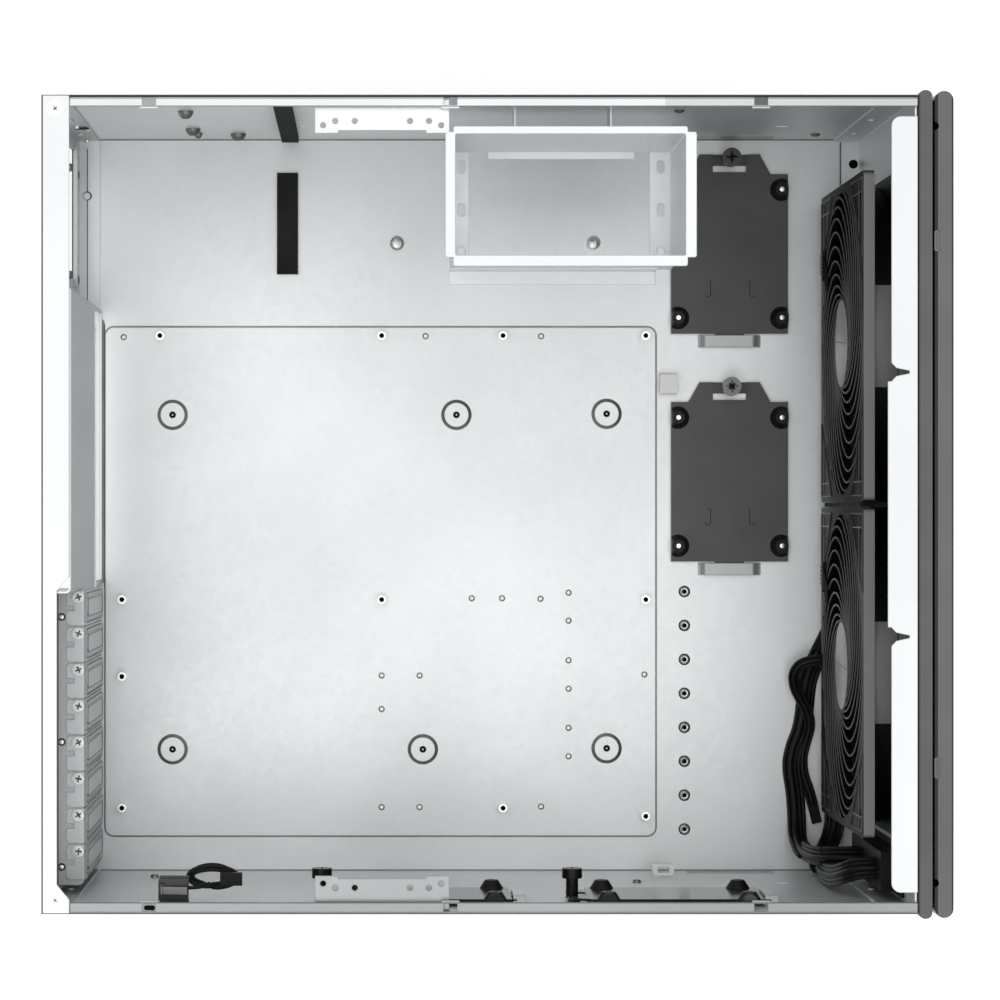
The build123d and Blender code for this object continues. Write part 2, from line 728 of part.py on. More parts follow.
with BuildPart() as door_panel:
    extrude(door_outline(0), amount=body_height)
    extrude(door_outline(door_skin), amount=body_height - 2 * door_skin, mode=Mode.SUBTRACT)
    open_rear = (door_x - overrun, door_x + door_skin + overrun)
    inside_rise = (door_skin, body_height - door_skin)
    block(open_rear, (-hinge_y, hinge_y), inside_rise, Mode.SUBTRACT)
    for ear_z in hinge_zs:
        cut_rise = (ear_z - lug_height / 2 - ear_gap, ear_z + lug_height / 2 + ear_gap)
        cut_range = (door_x - overrun, hinge_x + lug_swing)
        block(cut_range, (hinge_y - lug_swing, door_half + overrun), cut_rise, Mode.SUBTRACT)
        for ear_low in (cut_rise[0] - ear_thickness, cut_rise[1]):
            with BuildSketch(Plane.XY.offset(ear_low)):
                with Locations(((door_x + door_face_x) / 2, hinge_y)):
                    Circle(door_end_radius - door_skin / 2)
                    Circle(hinge_pin_radius, mode=Mode.SUBTRACT)
            extrude(amount=ear_thickness)
    with BuildSketch(Plane.YZ.offset(door_face_x + overrun)):
        with Locations((0, door_window_z)):
            RectangleRounded(2 * door_window_half, door_window_rise, door_window_corner)
    extrude(amount=-door_skin - 2 * overrun, mode=Mode.SUBTRACT)
    with BuildSketch(Plane.XY.offset(-overrun)):
        with Locations((door_x, relief_half), (door_x, -relief_half)):
            Circle(relief_radius)
        with Locations((door_x + clip_width / 2, clip_half), (door_x + clip_width / 2, -clip_half)):
            Rectangle(clip_width + 2 * clearance, clip_length)
    extrude(amount=body_height + 2 * overrun, mode=Mode.SUBTRACT)
door_panel.part.label = "door_panel"
export_step(door_panel.part, "parts/door_panel.step")

# Pierced mesh behind the door's window
mesh_thickness = 1.0
mesh_margin = 5.0
mesh_columns = 20
mesh_rows = 6
mesh_bar_share = 0.3

with BuildPart() as door_mesh:
    mesh_x = door_face_x - door_skin - mesh_thickness
    with BuildSketch(Plane.YZ.offset(mesh_x)):
        with Locations((0, door_window_z)):
            Rectangle(2 * (door_window_half + mesh_margin), door_window_rise + 2 * mesh_margin)
            cell_width = 2 * door_window_half / mesh_columns
            cell_height = door_window_rise / mesh_rows
            with GridLocations(cell_width, cell_height, mesh_columns, mesh_rows):
                hole_width = cell_width * (1 - mesh_bar_share)
                hole_height = cell_height - cell_width * mesh_bar_share
                Rectangle(hole_width, hole_height, mode=Mode.SUBTRACT)
    extrude(amount=mesh_thickness)
door_mesh.part.label = "door_mesh"
export_step(door_mesh.part, "parts/door_mesh.step")

# Washable dust filter held behind the mesh
filter_depth = 3.0
filter_frame = 6.0
filter_web = 1.2
filter_bars = 4

with BuildPart() as dust_filter:
    filter_x = mesh_x - filter_depth
    filter_half = door_window_half + mesh_margin - clearance
    filter_rise = door_window_rise + 2 * mesh_margin - 2 * clearance
    with BuildSketch(Plane.YZ.offset(filter_x)):
        with Locations((0, door_window_z)):
            Rectangle(2 * filter_half, filter_rise)
            bay = (2 * filter_half - filter_frame) / filter_bars
            with GridLocations(bay, filter_rise, filter_bars, 1):
                Rectangle(bay - filter_frame, filter_rise - 2 * filter_frame, mode=Mode.SUBTRACT)
    extrude(amount=filter_depth)
    web_span = (-filter_half + filter_frame / 2, filter_half - filter_frame / 2)
    web_rise = (door_window_z - filter_rise / 2 + filter_frame / 2, door_window_z + filter_rise / 2 - filter_frame / 2)
    block((mesh_x - filter_web, mesh_x), web_span, web_rise)
dust_filter.part.label = "dust_filter"
export_step(dust_filter.part, "parts/dust_filter.step")

# Spring clips in the door's upper and lower rear edges
with BuildPart() as door_clips:
    for side in (-1, 1):
        for z_range in ((clip_wall / 2, clip_height), (body_height - clip_height, body_height - clip_wall / 2)):
            clip_y = side * clip_half
            x_range = (door_x, door_x + clip_width)
            y_range = (clip_y - clip_length / 2, clip_y + clip_length / 2)
            block(x_range, y_range, z_range)
    fillet(door_clips.edges().filter_by(Axis.Z), clip_width / 2 - clip_wall / 2)
door_clips.part.label = "door_clips"
export_step(door_clips.part, "parts/door_clips.step")

# Hinge pins, fixed in the door's ears
with BuildPart() as door_hinge_pins:
    pin_reach = lug_height / 2 + ear_gap + ear_thickness
    for pin_z in hinge_zs:
        with BuildSketch(Plane.XY.offset(pin_z - pin_reach)):
            with Locations((hinge_x, hinge_y)):
                Circle(hinge_pin_radius)
        extrude(amount=2 * pin_reach)
door_hinge_pins.part.label = "door_hinge_pins"
export_step(door_hinge_pins.part, "parts/door_hinge_pins.step")

# Front connections: a moulded housing with two buttons, two lights and two sockets
io_depth = 22.0
io_proud = 0.4
io_lip = 3.0
io_lip_thickness = 1.5
power_radius = 6.0
power_z = 165.0
reset_radius = 2.6
reset_z = 148.0
button_depth = 9.0
button_proud = 0.9
button_spring_room = 3.0
light_radius = 1.5
light_zs = [138.0, 130.0]
light_depth = 6.0
port_width = 5.7
port_height = 13.4
port_wall = 0.5
port_depth = 14.0
port_zs = [112.0, 88.0]
io_face_x = bezel_face_x + io_proud

with BuildPart() as io_housing:
    io_span = (io_panel_y - io_panel_width / 2, io_panel_y + io_panel_width / 2)
    block((io_face_x - io_depth, io_face_x), io_span, (io_panel_low, io_panel_high))
    lip_span = (io_span[0] - io_lip, io_span[1] + io_lip)
    lip_x = front_x - sheet - io_lip_thickness
    block((lip_x, front_x - sheet), lip_span, (io_panel_low - io_lip, io_panel_high + io_lip))
    with BuildSketch(Plane.YZ.offset(io_face_x)):
        with Locations((io_panel_y, power_z)):
            Circle(power_radius + clearance)
        with Locations((io_panel_y, reset_z)):
            Circle(reset_radius + clearance)
    extrude(amount=-button_depth - button_spring_room, mode=Mode.SUBTRACT)
    with BuildSketch(Plane.YZ.offset(io_face_x)):
        with Locations(*[(io_panel_y, z) for z in light_zs]):
            Circle(light_radius)
    extrude(amount=-light_depth, mode=Mode.SUBTRACT)
    with BuildSketch(Plane.YZ.offset(io_face_x)):
        with Locations(*[(io_panel_y, z) for z in port_zs]):
            Rectangle(port_width, port_height)
    extrude(amount=-port_depth, mode=Mode.SUBTRACT)
io_housing.part.label = "io_housing"
export_step(io_housing.part, "parts/io_housing.step")

with BuildPart() as power_button:
    with BuildSketch(Plane.YZ.offset(io_face_x + button_proud)):
        with Locations((io_panel_y, power_z)):
            Circle(power_radius)
    extrude(amount=-button_depth)
power_button.part.label = "power_button"
export_step(power_button.part, "parts/power_button.step")

with BuildPart() as reset_button:
    with BuildSketch(Plane.YZ.offset(io_face_x + button_proud)):
        with Locations((io_panel_y, reset_z)):
            Circle(reset_radius)
    extrude(amount=-button_depth)
reset_button.part.label = "reset_button"
export_step(reset_button.part, "parts/reset_button.step")

with BuildPart() as status_lights:
    with BuildSketch(Plane.YZ.offset(io_face_x + clearance)):
        with Locations(*[(io_panel_y, z) for z in light_zs]):
            Circle(light_radius)
    extrude(amount=-light_depth)
status_lights.part.label = "status_lights"
export_step(status_lights.part, "parts/status_lights.step")

with BuildPart() as usb_ports:
    for port_z in port_zs:
        with BuildSketch(Plane.YZ.offset(io_face_x)):
            with Locations((io_panel_y, port_z)):
                Rectangle(port_width, port_height)
        extrude(amount=-port_depth)
        with BuildSketch(Plane.YZ.offset(io_face_x)):
            with Locations((io_panel_y, port_z)):
                Rectangle(port_width - 2 * port_wall, port_height - 2 * port_wall)
        extrude(amount=-port_depth + port_wall, mode=Mode.SUBTRACT)
        tongue_span = (io_panel_y - port_width / 2 + port_wall, io_panel_y)
        tongue_rise = (port_z - port_height / 2 + 2 * port_wall, port_z + port_height / 2 - 2 * port_wall)
        block((io_face_x - port_depth + port_wall, io_face_x - port_wall), tongue_span, tongue_rise)
usb_ports.part.label = "usb_ports"
export_step(usb_ports.part, "parts/usb_ports.step")

# Drive trays: a raised plate with four pressed dishes, a screw tab at one end and a tongue at the other
tray_raise = 2.0


def tray_box(plane, u_range, v_range, w_range, mode=Mode.ADD):
    """A block of a tray, along the tray's width, length and height."""
    size = [high - low for low, high in (u_range, v_range, w_range)]
    middle = [(high + low) / 2 for low, high in (u_range, v_range, w_range)]
    with Locations(plane.location * Location(tuple(middle))):
        Box(*size, mode=mode)


def drive_tray(plane):
    """A 2.5 inch drive tray, placed by its thumbscrew, its length running along the plane's -Y."""
    plate_top = tray_screw_from_end - tray_tab_length
    plate_end = plate_top - tray_length
    half = tray_width / 2
    tab = tray_tab_width / 2
    raised = (tray_raise, tray_raise + tray_plate)
    lowered = (0, tray_plate)
    riser = (0, tray_raise + tray_plate)
    with BuildPart() as tray:
        with BuildSketch(plane.offset(tray_raise)):
            with BuildLine():
                Polyline(
                    (-half, plate_end), (half, plate_end), (half, plate_top), (tab + tray_shoulder, plate_top),
                    (tab, tray_screw_from_end), (-tab, tray_screw_from_end),
                    (-tab - tray_shoulder, plate_top), (-half, plate_top), (-half, plate_end),
                )
            make_face()
        extrude(amount=tray_plate)
        window = (-tray_window / 2, tray_window / 2)
        window_end = tray_screw_from_end - tray_window_depth
        tray_box(plane, window, (window_end, tray_screw_from_end + overrun), riser, Mode.SUBTRACT)
        step = (tray_screw_from_end - tray_step_depth, tray_screw_from_end)
        tray_box(plane, window, step, lowered)
        for side in (-1, 1):
            cheek = sorted((side * window[1], side * (window[1] + tray_plate)))
            tray_box(plane, cheek, step, riser)
        tongue = (-tray_tongue / 2, tray_tongue / 2)
        tray_box(plane, tongue, (plate_end - tray_plate, plate_end), riser)
        tray_box(plane, tongue, (plate_end - tray_tongue_length, plate_end), lowered)
        dishes = [
            (side * tray_hole_span / 2, -tray_hole_from_screw - reach)
            for side in (-1, 1)
            for reach in (0, tray_hole_reach)
        ]
        dish_middle = tray_raise + tray_plate + tray_dish_height / 2
        with Locations(*[plane.location * Location((u, v, dish_middle)) for u, v in dishes]):
            Cone(tray_dish_radius, tray_dish_top, tray_dish_height)
        dish_top = tray_raise + tray_plate + tray_dish_height
        for side in (-1, 1):
            beyond = sorted((side * half, side * (half + tray_dish_radius)))
            tray_box(plane, beyond, (plate_end, plate_top), (0, dish_top + overrun), Mode.SUBTRACT)
        with BuildSketch(plane):
            with Locations(*dishes):
                Circle(tray_hole_radius)
            Circle(thumb_hole_radius)
        extrude(amount=dish_top + overrun, mode=Mode.SUBTRACT)
    return tray.part


for tray_name, plane in zip(("floor_tray_1", "floor_tray_2", "wall_tray_1", "wall_tray_2"), tray_planes()):
    with BuildPart() as tray:
        add(drive_tray(plane))
    tray.part.label = tray_name
    export_step(tray.part, f"parts/{tray_name}.step")

thumb_collar_radius = 3.4
thumb_collar_height = 10.9
thumb_shank_length = 5.0

with BuildPart() as tray_thumbscrews:
    for plane in tray_planes():
        seat = plane.offset(tray_plate)
        with BuildSketch(seat):
            Circle(thumb_collar_radius)
        extrude(amount=thumb_collar_height)
        knob_seat = plane.offset(tray_plate + thumb_collar_height)
        add(pan_screw(knob_seat, thumb_radius, thumb_height - thumb_collar_height, thumb_shank_radius,
                      thumb_shank_length + thumb_collar_height))
tray_thumbscrews.part.label = "tray_thumbscrews"
export_step(tray_thumbscrews.part, "parts/tray_thumbscrews.step")

# Drive cage: an open box of sheet beside the wall, hemmed at the top and flanged at the foot
cage_from_front = 118.2
cage_length = 135.0
cage_from_wall = 15.6
cage_width = 75.1
cage_top_gap = 3.0
cage_height = 98.0
cage_sheet = 1.0
cage_hem_rear = 4.3
cage_hem_front = 4.8
cage_hem_far = 3.0
cage_hem_near = 4.7
cage_foot_rear = 11.0
cage_foot_front = 13.0
cage_foot_far = 5.1
cage_foot_far_length = 83.0
cage_slot_length = 7.3
cage_slot_width = 4.0
cage_slot_pitch = 24.5
cage_slot_count = 3
cage_slot_inset = 6.6
cage_corner = 2.0
cage_hem_corner = 1.2

cage_front_edge = front_x - cage_from_front
cage_rear_edge = cage_front_edge - cage_length
cage_far_edge = wall_y - cage_from_wall
cage_near_edge = cage_far_edge - cage_width
cage_x = (cage_rear_edge + cage_hem_rear, cage_front_edge - cage_hem_front)
cage_y = (cage_near_edge + cage_hem_near, cage_far_edge - cage_hem_far)
cage_top_z = body_height - cage_top_gap
cage_low_z = cage_top_z - cage_height
cage_middle = ((cage_x[0] + cage_x[1]) / 2, (cage_y[0] + cage_y[1]) / 2)
cage_size = (cage_x[1] - cage_x[0], cage_y[1] - cage_y[0])
cage_inside = [extent - 2 * cage_sheet for extent in cage_size]

with BuildPart() as drive_cage:
    with BuildSketch(Plane.XY.offset(cage_low_z)):
        with Locations(cage_middle):
            RectangleRounded(*cage_size, cage_corner)
            RectangleRounded(*cage_inside, cage_sheet, mode=Mode.SUBTRACT)
    extrude(amount=cage_height)
    with BuildSketch(Plane.XY.offset(cage_top_z)):
        with Locations(((cage_rear_edge + cage_front_edge) / 2, cage_middle[1])):
            RectangleRounded(cage_length, cage_size[1], cage_hem_corner)
        with Locations((cage_middle[0], (cage_near_edge + cage_far_edge) / 2)):
            RectangleRounded(cage_size[0], cage_width, cage_hem_corner)
        with Locations(cage_middle):
            Rectangle(*cage_inside, mode=Mode.SUBTRACT)
    extrude(amount=-cage_sheet)
    foot_rise = (cage_low_z, cage_low_z + cage_sheet)
    block((cage_x[0] + cage_sheet / 2, cage_x[0] + cage_foot_rear), cage_y, foot_rise)
    block((cage_x[1] - cage_foot_front, cage_x[1] - cage_sheet / 2), cage_y, foot_rise)
    far_foot = (cage_middle[0] - cage_foot_far_length / 2, cage_middle[0] + cage_foot_far_length / 2)
    block(far_foot, (cage_y[1] - cage_foot_far, cage_y[1] - cage_sheet / 2), foot_rise)
    with BuildSketch(Plane.XY.offset(cage_low_z)):
        for foot_x in (cage_x[0] + cage_slot_inset, cage_x[1] - cage_slot_inset):
            with Locations((foot_x, cage_middle[1])):
                with GridLocations(cage_slot_width, cage_slot_pitch, 1, cage_slot_count):
                    SlotOverall(cage_slot_length, cage_slot_width, rotation=90)
    extrude(amount=cage_sheet, mode=Mode.SUBTRACT)
drive_cage.part.label = "drive_cage"
export_step(drive_cage.part, "parts/drive_cage.step")

# Bracket from the cage to the side wall, hat-shaped in plan
cage_arm_low = 182.0
cage_arm_height = 24.0
cage_arm_foot = 8.0
cage_arm_shares = [0.262, 0.682]

with BuildPart() as cage_bracket:
    arm_a, arm_b = [cage_x[0] + share * cage_size[0] for share in cage_arm_shares]
    foot_y = wall_y - cage_sheet
    hat_line = [
        (arm_a - cage_arm_foot, foot_y), (arm_a, foot_y), (arm_a, cage_y[1]),
        (arm_b, cage_y[1]), (arm_b, foot_y), (arm_b + cage_arm_foot, foot_y),
    ]
    arm_plane = Plane.XY.offset(cage_arm_low)
    extrude(folded_section(arm_plane, hat_line, cage_sheet, cage_sheet + clearance), amount=cage_arm_height)
cage_bracket.part.label = "cage_bracket"
export_step(cage_bracket.part, "parts/cage_bracket.step")

# Rail along the near foot of the cage
rail_rise = 18.0
rail_reach = 8.5
rail_length = 116.3

with BuildPart() as cage_rail:
    rail_line = [
        (cage_y[0] - rail_reach, cage_low_z), (cage_y[0], cage_low_z), (cage_y[0], cage_low_z + rail_rise),
    ]
    rail_plane = Plane.YZ.offset(cage_x[0])
    extrude(folded_section(rail_plane, rail_line, cage_sheet, cage_sheet + clearance), amount=rail_length)
cage_rail.part.label = "cage_rail"
export_step(cage_rail.part, "parts/cage_rail.step")

# Angle brackets under the rims, one on each side wall
bracket_from_rear = 146.7
bracket_length = 72.2
bracket_reach = 17.6
bracket_tab_reach = 19.1
bracket_tab_length = 12.4
bracket_drop = 20.0
bracket_gap = 3.3
bracket_hole_radius = 1.6
bracket_hole_shares = [(0.060, 0.85), (0.151, 0.72), (0.296, 0.72), (0.708, 0.72), (0.849, 0.72), (0.940, 0.85)]

bracket_x0 = rear_x + bracket_from_rear
bracket_z = top_z - bracket_gap
for bracket_name, side in (("top_bracket_1", 1), ("top_bracket_2", -1)):
    with BuildPart() as top_bracket:
        angle_line = [
            (wall_y, bracket_z - bracket_drop), (wall_y, bracket_z), (wall_y - bracket_reach, bracket_z),
        ]
        angle_plane = Plane.YZ.offset(bracket_x0)
        extrude(folded_section(angle_plane, angle_line, sheet, sheet + clearance), amount=bracket_length)
        for tab_x in (bracket_x0, bracket_x0 + bracket_length - bracket_tab_length):
            tab_span = (wall_y - bracket_tab_reach, wall_y - bracket_reach + sheet)
            block((tab_x, tab_x + bracket_tab_length), tab_span, (bracket_z - sheet, bracket_z))
        with BuildSketch(Plane.XY.offset(bracket_z)):
            for along, across in bracket_hole_shares:
                with Locations((bracket_x0 + along * bracket_length, wall_y - across * bracket_reach)):
                    Circle(bracket_hole_radius)
        extrude(amount=-sheet, mode=Mode.SUBTRACT)
        if side < 0:
            mirror(about=Plane.XZ, mode=Mode.REPLACE)
    top_bracket.part.label = bracket_name
    export_step(top_bracket.part, f"parts/{bracket_name}.step")

# Standoffs for the board
with BuildPart() as board_standoffs:
    with BuildSketch(Plane.XY.offset(board_z)):
        with Locations(*on_board(standoff_shares)):
            Circle(standoff_radius)
            Circle(standoff_bore, mode=Mode.SUBTRACT)
    extrude(amount=standoff_top - board_z)
board_standoffs.part.label = "board_standoffs"
export_step(board_standoffs.part, "parts/board_standoffs.step")

# Rivet studs on the floor below the cage
stud_radius = 3.9
stud_height = 2.4
stud_from_rear = [192.1, 310.0]
stud_from_wall = 61.7

with BuildPart() as floor_studs:
    with BuildSketch(Plane.XY.offset(floor_z)):
        with Locations(*[(rear_x + from_rear, wall_y - stud_from_wall) for from_rear in stud_from_rear]):
            Circle(stud_radius)
    extrude(amount=stud_height)
    fillet(floor_studs.edges().group_by(Axis.Z)[-1], sheet)
floor_studs.part.label = "floor_studs"
export_step(floor_studs.part, "parts/floor_studs.step")

# Foam strips that the power supply rests against
pad_thickness = 3.0
floor_pad_from_rear = 120.4
floor_pad_width = 12.5
floor_pad_length = 60.5
floor_pad_from_wall = 20.2
wall_pad_from_rear = 123.6
wall_pad_width = 10.0
wall_pad_low = 12.0
wall_pad_high = 205.0

with BuildPart() as floor_pad:
    pad_range = (rear_x + floor_pad_from_rear, rear_x + floor_pad_from_rear + floor_pad_width)
    pad_span = (wall_y - floor_pad_from_wall - floor_pad_length, wall_y - floor_pad_from_wall)
    block(pad_range, pad_span, (floor_z, floor_z + pad_thickness))
floor_pad.part.label = "floor_pad"
export_step(floor_pad.part, "parts/floor_pad.step")

with BuildPart() as wall_pad:
    pad_range = (rear_x + wall_pad_from_rear, rear_x + wall_pad_from_rear + wall_pad_width)
    block(pad_range, (wall_y - pad_thickness, wall_y), (wall_pad_low, wall_pad_high))
wall_pad.part.label = "wall_pad"
export_step(wall_pad.part, "parts/wall_pad.step")

# Cable saddles, one on the floor and one on the wall
saddle_length = 12.6
saddle_width = 10.2
saddle_height = 6.5
saddle_wall = 1.4
floor_saddle_from_front = 115.7
floor_saddle_from_wall = 146.4
wall_saddle_from_front = 120.6
wall_saddle_z = 24.2


def cable_saddle(plane):
    """A saddle standing on a plane, open along the plane's Y for a cable tie."""
    with BuildPart() as saddle:
        with BuildSketch(Plane(origin=plane.origin, x_dir=plane.x_dir, z_dir=-plane.y_dir)):
            with Locations((0, saddle_height / 2)):
                RectangleRounded(saddle_length, saddle_height, saddle_wall)
                Rectangle(saddle_length - 4 * saddle_wall, saddle_height - 2 * saddle_wall, mode=Mode.SUBTRACT)
        extrude(amount=saddle_width / 2, both=True)
    return saddle.part


with BuildPart() as floor_saddle:
    saddle_x = front_x - floor_saddle_from_front
    saddle_y = wall_y - floor_saddle_from_wall
    add(cable_saddle(Plane(origin=(saddle_x, saddle_y, floor_z), x_dir=(0, 1, 0), z_dir=(0, 0, 1))))
floor_saddle.part.label = "floor_saddle"
export_step(floor_saddle.part, "parts/floor_saddle.step")

with BuildPart() as wall_saddle:
    saddle_x = front_x - wall_saddle_from_front
    add(cable_saddle(Plane(origin=(saddle_x, -wall_y, wall_saddle_z), x_dir=(1, 0, 0), z_dir=(0, 1, 0))))
wall_saddle.part.label = "wall_saddle"
export_step(wall_saddle.part, "parts/wall_saddle.step")

# Rivets that join the end panels to the base
rivet_radius = 2.2
rivet_height = 1.0
rivet_from_edge = 6.6
rivet_z_shares = [0.209, 0.536, 0.864]
rivet_zs = [share * body_height for share in rivet_z_shares]
floor_rivet_from_wall = 34.1

with BuildPart() as rivets:
    for rivet_z in rivet_zs:
        for side in (-1, 1):
            for rivet_x in (rear_x + rivet_from_edge, front_x - front_side_flange + rivet_from_edge):
                seat = Plane(
                    origin=(rivet_x, side * (wall_y - sheet), rivet_z), x_dir=(1, 0, 0), z_dir=(0, -side, 0)
                )
                with BuildSketch(seat):
                    Circle(rivet_radius)
                extrude(amount=rivet_height)
    with BuildSketch(Plane.XY.offset(floor_z + sheet)):
        with Locations((rear_x + rivet_from_edge, wall_y - floor_rivet_from_wall)):
            Circle(rivet_radius)
    extrude(amount=rivet_height)
rivets.part.label = "rivets"
export_step(rivets.part, "parts/rivets.step")

# Lid switch beside the rear of the low-side wall, on a small angle bracket
switch_from_rear = 61.6
switch_length = 16.0
switch_depth = 11.0
switch_height = 9.0
switch_shelf_z = 192.0
switch_shelf_depth = 16.8
switch_leg = 12.0
switch_setback = 1.4
lever_barrel_radius = 0.9
lever_pin_radius = 0.5
lever_pivot_inset = 1.8
lever_thickness = 0.5
lever_width = 4.0
lever_tilt = 12.0
ear_width = 1.2
ear_rise = 2.2

switch_x = (rear_x + switch_from_rear, rear_x + switch_from_rear + switch_length)
switch_inner_y = -wall_y + switch_shelf_depth - switch_setback
switch_y = (switch_inner_y - switch_depth, switch_inner_y)
switch_mid_y = (switch_y[0] + switch_y[1]) / 2
switch_top_z = switch_shelf_z + switch_height
lever_x = switch_x[0] + lever_pivot_inset
lever_z = switch_top_z + lever_barrel_radius + clearance

with BuildPart() as switch_bracket:
    shelf_line = [
        (-wall_y + switch_shelf_depth, switch_shelf_z), (-wall_y, switch_shelf_z),
        (-wall_y, switch_shelf_z - switch_leg),
    ]
    shelf_plane = Plane.YZ.offset(switch_x[0])
    extrude(folded_section(shelf_plane, shelf_line, sheet, sheet + clearance), amount=switch_length)
switch_bracket.part.label = "switch_bracket"
export_step(switch_bracket.part, "parts/switch_bracket.step")

with BuildPart() as switch_body:
    block(switch_x, switch_y, (switch_shelf_z, switch_top_z))
    for side in (-1, 1):
        ear_inner = switch_mid_y + side * (lever_width / 2 + clearance)
        ear_span = sorted((ear_inner, ear_inner + side * ear_width))
        block((switch_x[0], lever_x + lever_pivot_inset), ear_span, (switch_top_z, switch_top_z + ear_rise))
    with BuildSketch(Plane.XZ.offset(-switch_mid_y - lever_width)):
        with Locations((lever_x, lever_z)):
            Circle(lever_pin_radius + running_gap)
    extrude(amount=2 * lever_width, mode=Mode.SUBTRACT)
switch_body.part.label = "switch_body"
export_step(switch_body.part, "parts/switch_body.step")

with BuildPart() as switch_lever:
    lever_length = switch_length - lever_pivot_inset
    tilt = math.radians(lever_tilt)
    lever_heading = (math.cos(tilt), 0, math.sin(tilt))
    lever_plane = Plane(origin=(lever_x, switch_mid_y, lever_z), x_dir=lever_heading, z_dir=(0, -1, 0))
    with BuildSketch(lever_plane):
        Circle(lever_barrel_radius)
        with Locations((lever_length / 2, 0)):
            Rectangle(lever_length, lever_thickness)
    extrude(amount=lever_width / 2, both=True)
    with BuildSketch(lever_plane):
        Circle(lever_pin_radius)
    extrude(amount=lever_width / 2 + clearance + ear_width, both=True)
switch_lever.part.label = "switch_lever"
export_step(switch_lever.part, "parts/switch_lever.step")

# Loose wiring: each cord's centre line, from the part it leaves to its connector
cord_arc_share = 0.45


def cord_tube(points, diameter):
    """A cord's solid: straight runs joined by arcs as large as each pair of runs allows."""
    corners = [Vector(*point) for point in points]
    radii = []
    for before, corner, after in zip(corners, corners[1:], corners[2:]):
        turn = math.radians((corner - before).get_angle(after - corner))
        shorter = min((corner - before).length, (after - corner).length)
        radii.append(cord_arc_share * shorter / math.tan(turn / 2))
    with BuildPart() as tube:
        with BuildLine() as route:
            FilletPolyline(*points, radius=radii)
        path = route.wires()[0]
        with BuildSketch(Plane(origin=path @ 0, z_dir=path % 0)):
            Circle(diameter / 2)
        sweep(path=path)
    expected = math.pi * diameter**2 / 4 * path.length
    print("cord length", round(path.length, 1), "volume share", round(tube.part.volume / expected, 4))
    print("tightest arc in diameters", round(min(radii) / diameter, 2))
    return tube.part


def cord_plug(points, length, width, height):
    """A cord's end connector, in line with its last run and touching the cord's end face."""
    end = Vector(*points[-1])
    heading = (end - Vector(*points[-2])).normalized()
    side = heading.cross(Vector(0, 0, 1)).normalized()
    with BuildPart() as plug:
        with BuildSketch(Plane(origin=end, x_dir=side, z_dir=heading)):
            Rectangle(width, height)
        extrude(amount=length)
        chamfer(plug.edges().filter_by(GeomType.LINE).group_by(SortBy.LENGTH)[-1], plug_chamfer)
    return plug.part


plug_chamfer = 0.6
usb_cable_diameter = 4.5
usb_cable_route = [
    (211.7, -201.4, 100.0), (202.6, -201.4, 100.0), (193.2, -202.4, 93.4), (187.8, -203.4, 80.0),
    (185.8, -203.8, 60.0), (185.0, -203.4, 40.0), (184.8, -201.4, 24.0), (185.0, -196.6, 11.0),
    (185.6, -186.0, 4.2), (184.6, -171.0, 3.8), (182.0, -156.0, 3.8), (184.2, -144.4, 3.8),
    (188.4, -134.6, 3.8), (190.4, -122.0, 3.8), (191.4, -108.6, 3.8), (194.2, -98.0, 3.8),
    (199.2, -88.0, 3.8),
]
usb_plug_size = (16.0, 9.0, 4.8)
panel_leads_diameter = 4.0
panel_leads_route = [
    (211.7, -201.4, 156.0), (202.4, -201.4, 156.0), (195.4, -205.2, 147.4), (192.6, -208.8, 128.0),
    (191.8, -210.8, 103.0), (192.0, -211.4, 78.0), (193.4, -211.0, 54.0), (196.8, -209.0, 33.0),
    (202.2, -205.0, 16.0), (207.2, -198.4, 7.0), (209.8, -187.6, 5.0), (209.2, -176.4, 5.0),
]
panel_plug_size = (12.0, 8.0, 3.6)

fan_lead_diameter = 3.2
fan_lead_route = [
    (199.2, -92.0, 22.5), (189.6, -92.0, 22.5), (182.6, -99.0, 19.4), (184.0, -108.4, 14.2),
    (188.2, -115.6, 10.0), (192.6, -123.2, 8.2), (194.6, -132.0, 5.4), (192.0, -141.4, 3.4),
    (189.6, -151.4, 3.1), (190.6, -162.0, 3.1), (194.2, -171.0, 3.1), (196.2, -179.4, 3.1),
]
fan_plug_size = (11.0, 6.0, 3.4)

with BuildPart() as usb_cable:
    add(cord_tube(usb_cable_route, usb_cable_diameter))
usb_cable.part.label = "usb_cable"
export_step(usb_cable.part, "parts/usb_cable.step")

with BuildPart() as usb_plug:
    add(cord_plug(usb_cable_route, *usb_plug_size))
usb_plug.part.label = "usb_plug"
export_step(usb_plug.part, "parts/usb_plug.step")

with BuildPart() as panel_leads:
    add(cord_tube(panel_leads_route, panel_leads_diameter))
panel_leads.part.label = "panel_leads"
export_step(panel_leads.part, "parts/panel_leads.step")

with BuildPart() as panel_plug:
    add(cord_plug(panel_leads_route, *panel_plug_size))
panel_plug.part.label = "panel_plug"
export_step(panel_plug.part, "parts/panel_plug.step")

with BuildPart() as fan_lead:
    add(cord_tube(fan_lead_route, fan_lead_diameter))
fan_lead.part.label = "fan_lead"
export_step(fan_lead.part, "parts/fan_lead.step")

with BuildPart() as fan_plug:
    add(cord_plug(fan_lead_route, *fan_plug_size))
fan_plug.part.label = "fan_plug"
export_step(fan_plug.part, "parts/fan_plug.step")

switch_lead_diameter = 2.0
switch_lead_route = [
    (-167.0, -207.9, 198.5), (-161.0, -207.9, 198.5), (-156.2, -206.4, 194.2), (-156.2, -206.4, 188.0),
]
switch_hank_length = 34.0
switch_hank_depth = 13.0
switch_hank_height = 12.0
switch_hank_middle = (-153.0, -204.0)
switch_hank_round = 3.0
switch_plug_size = (12.0, 7.0, 4.6)

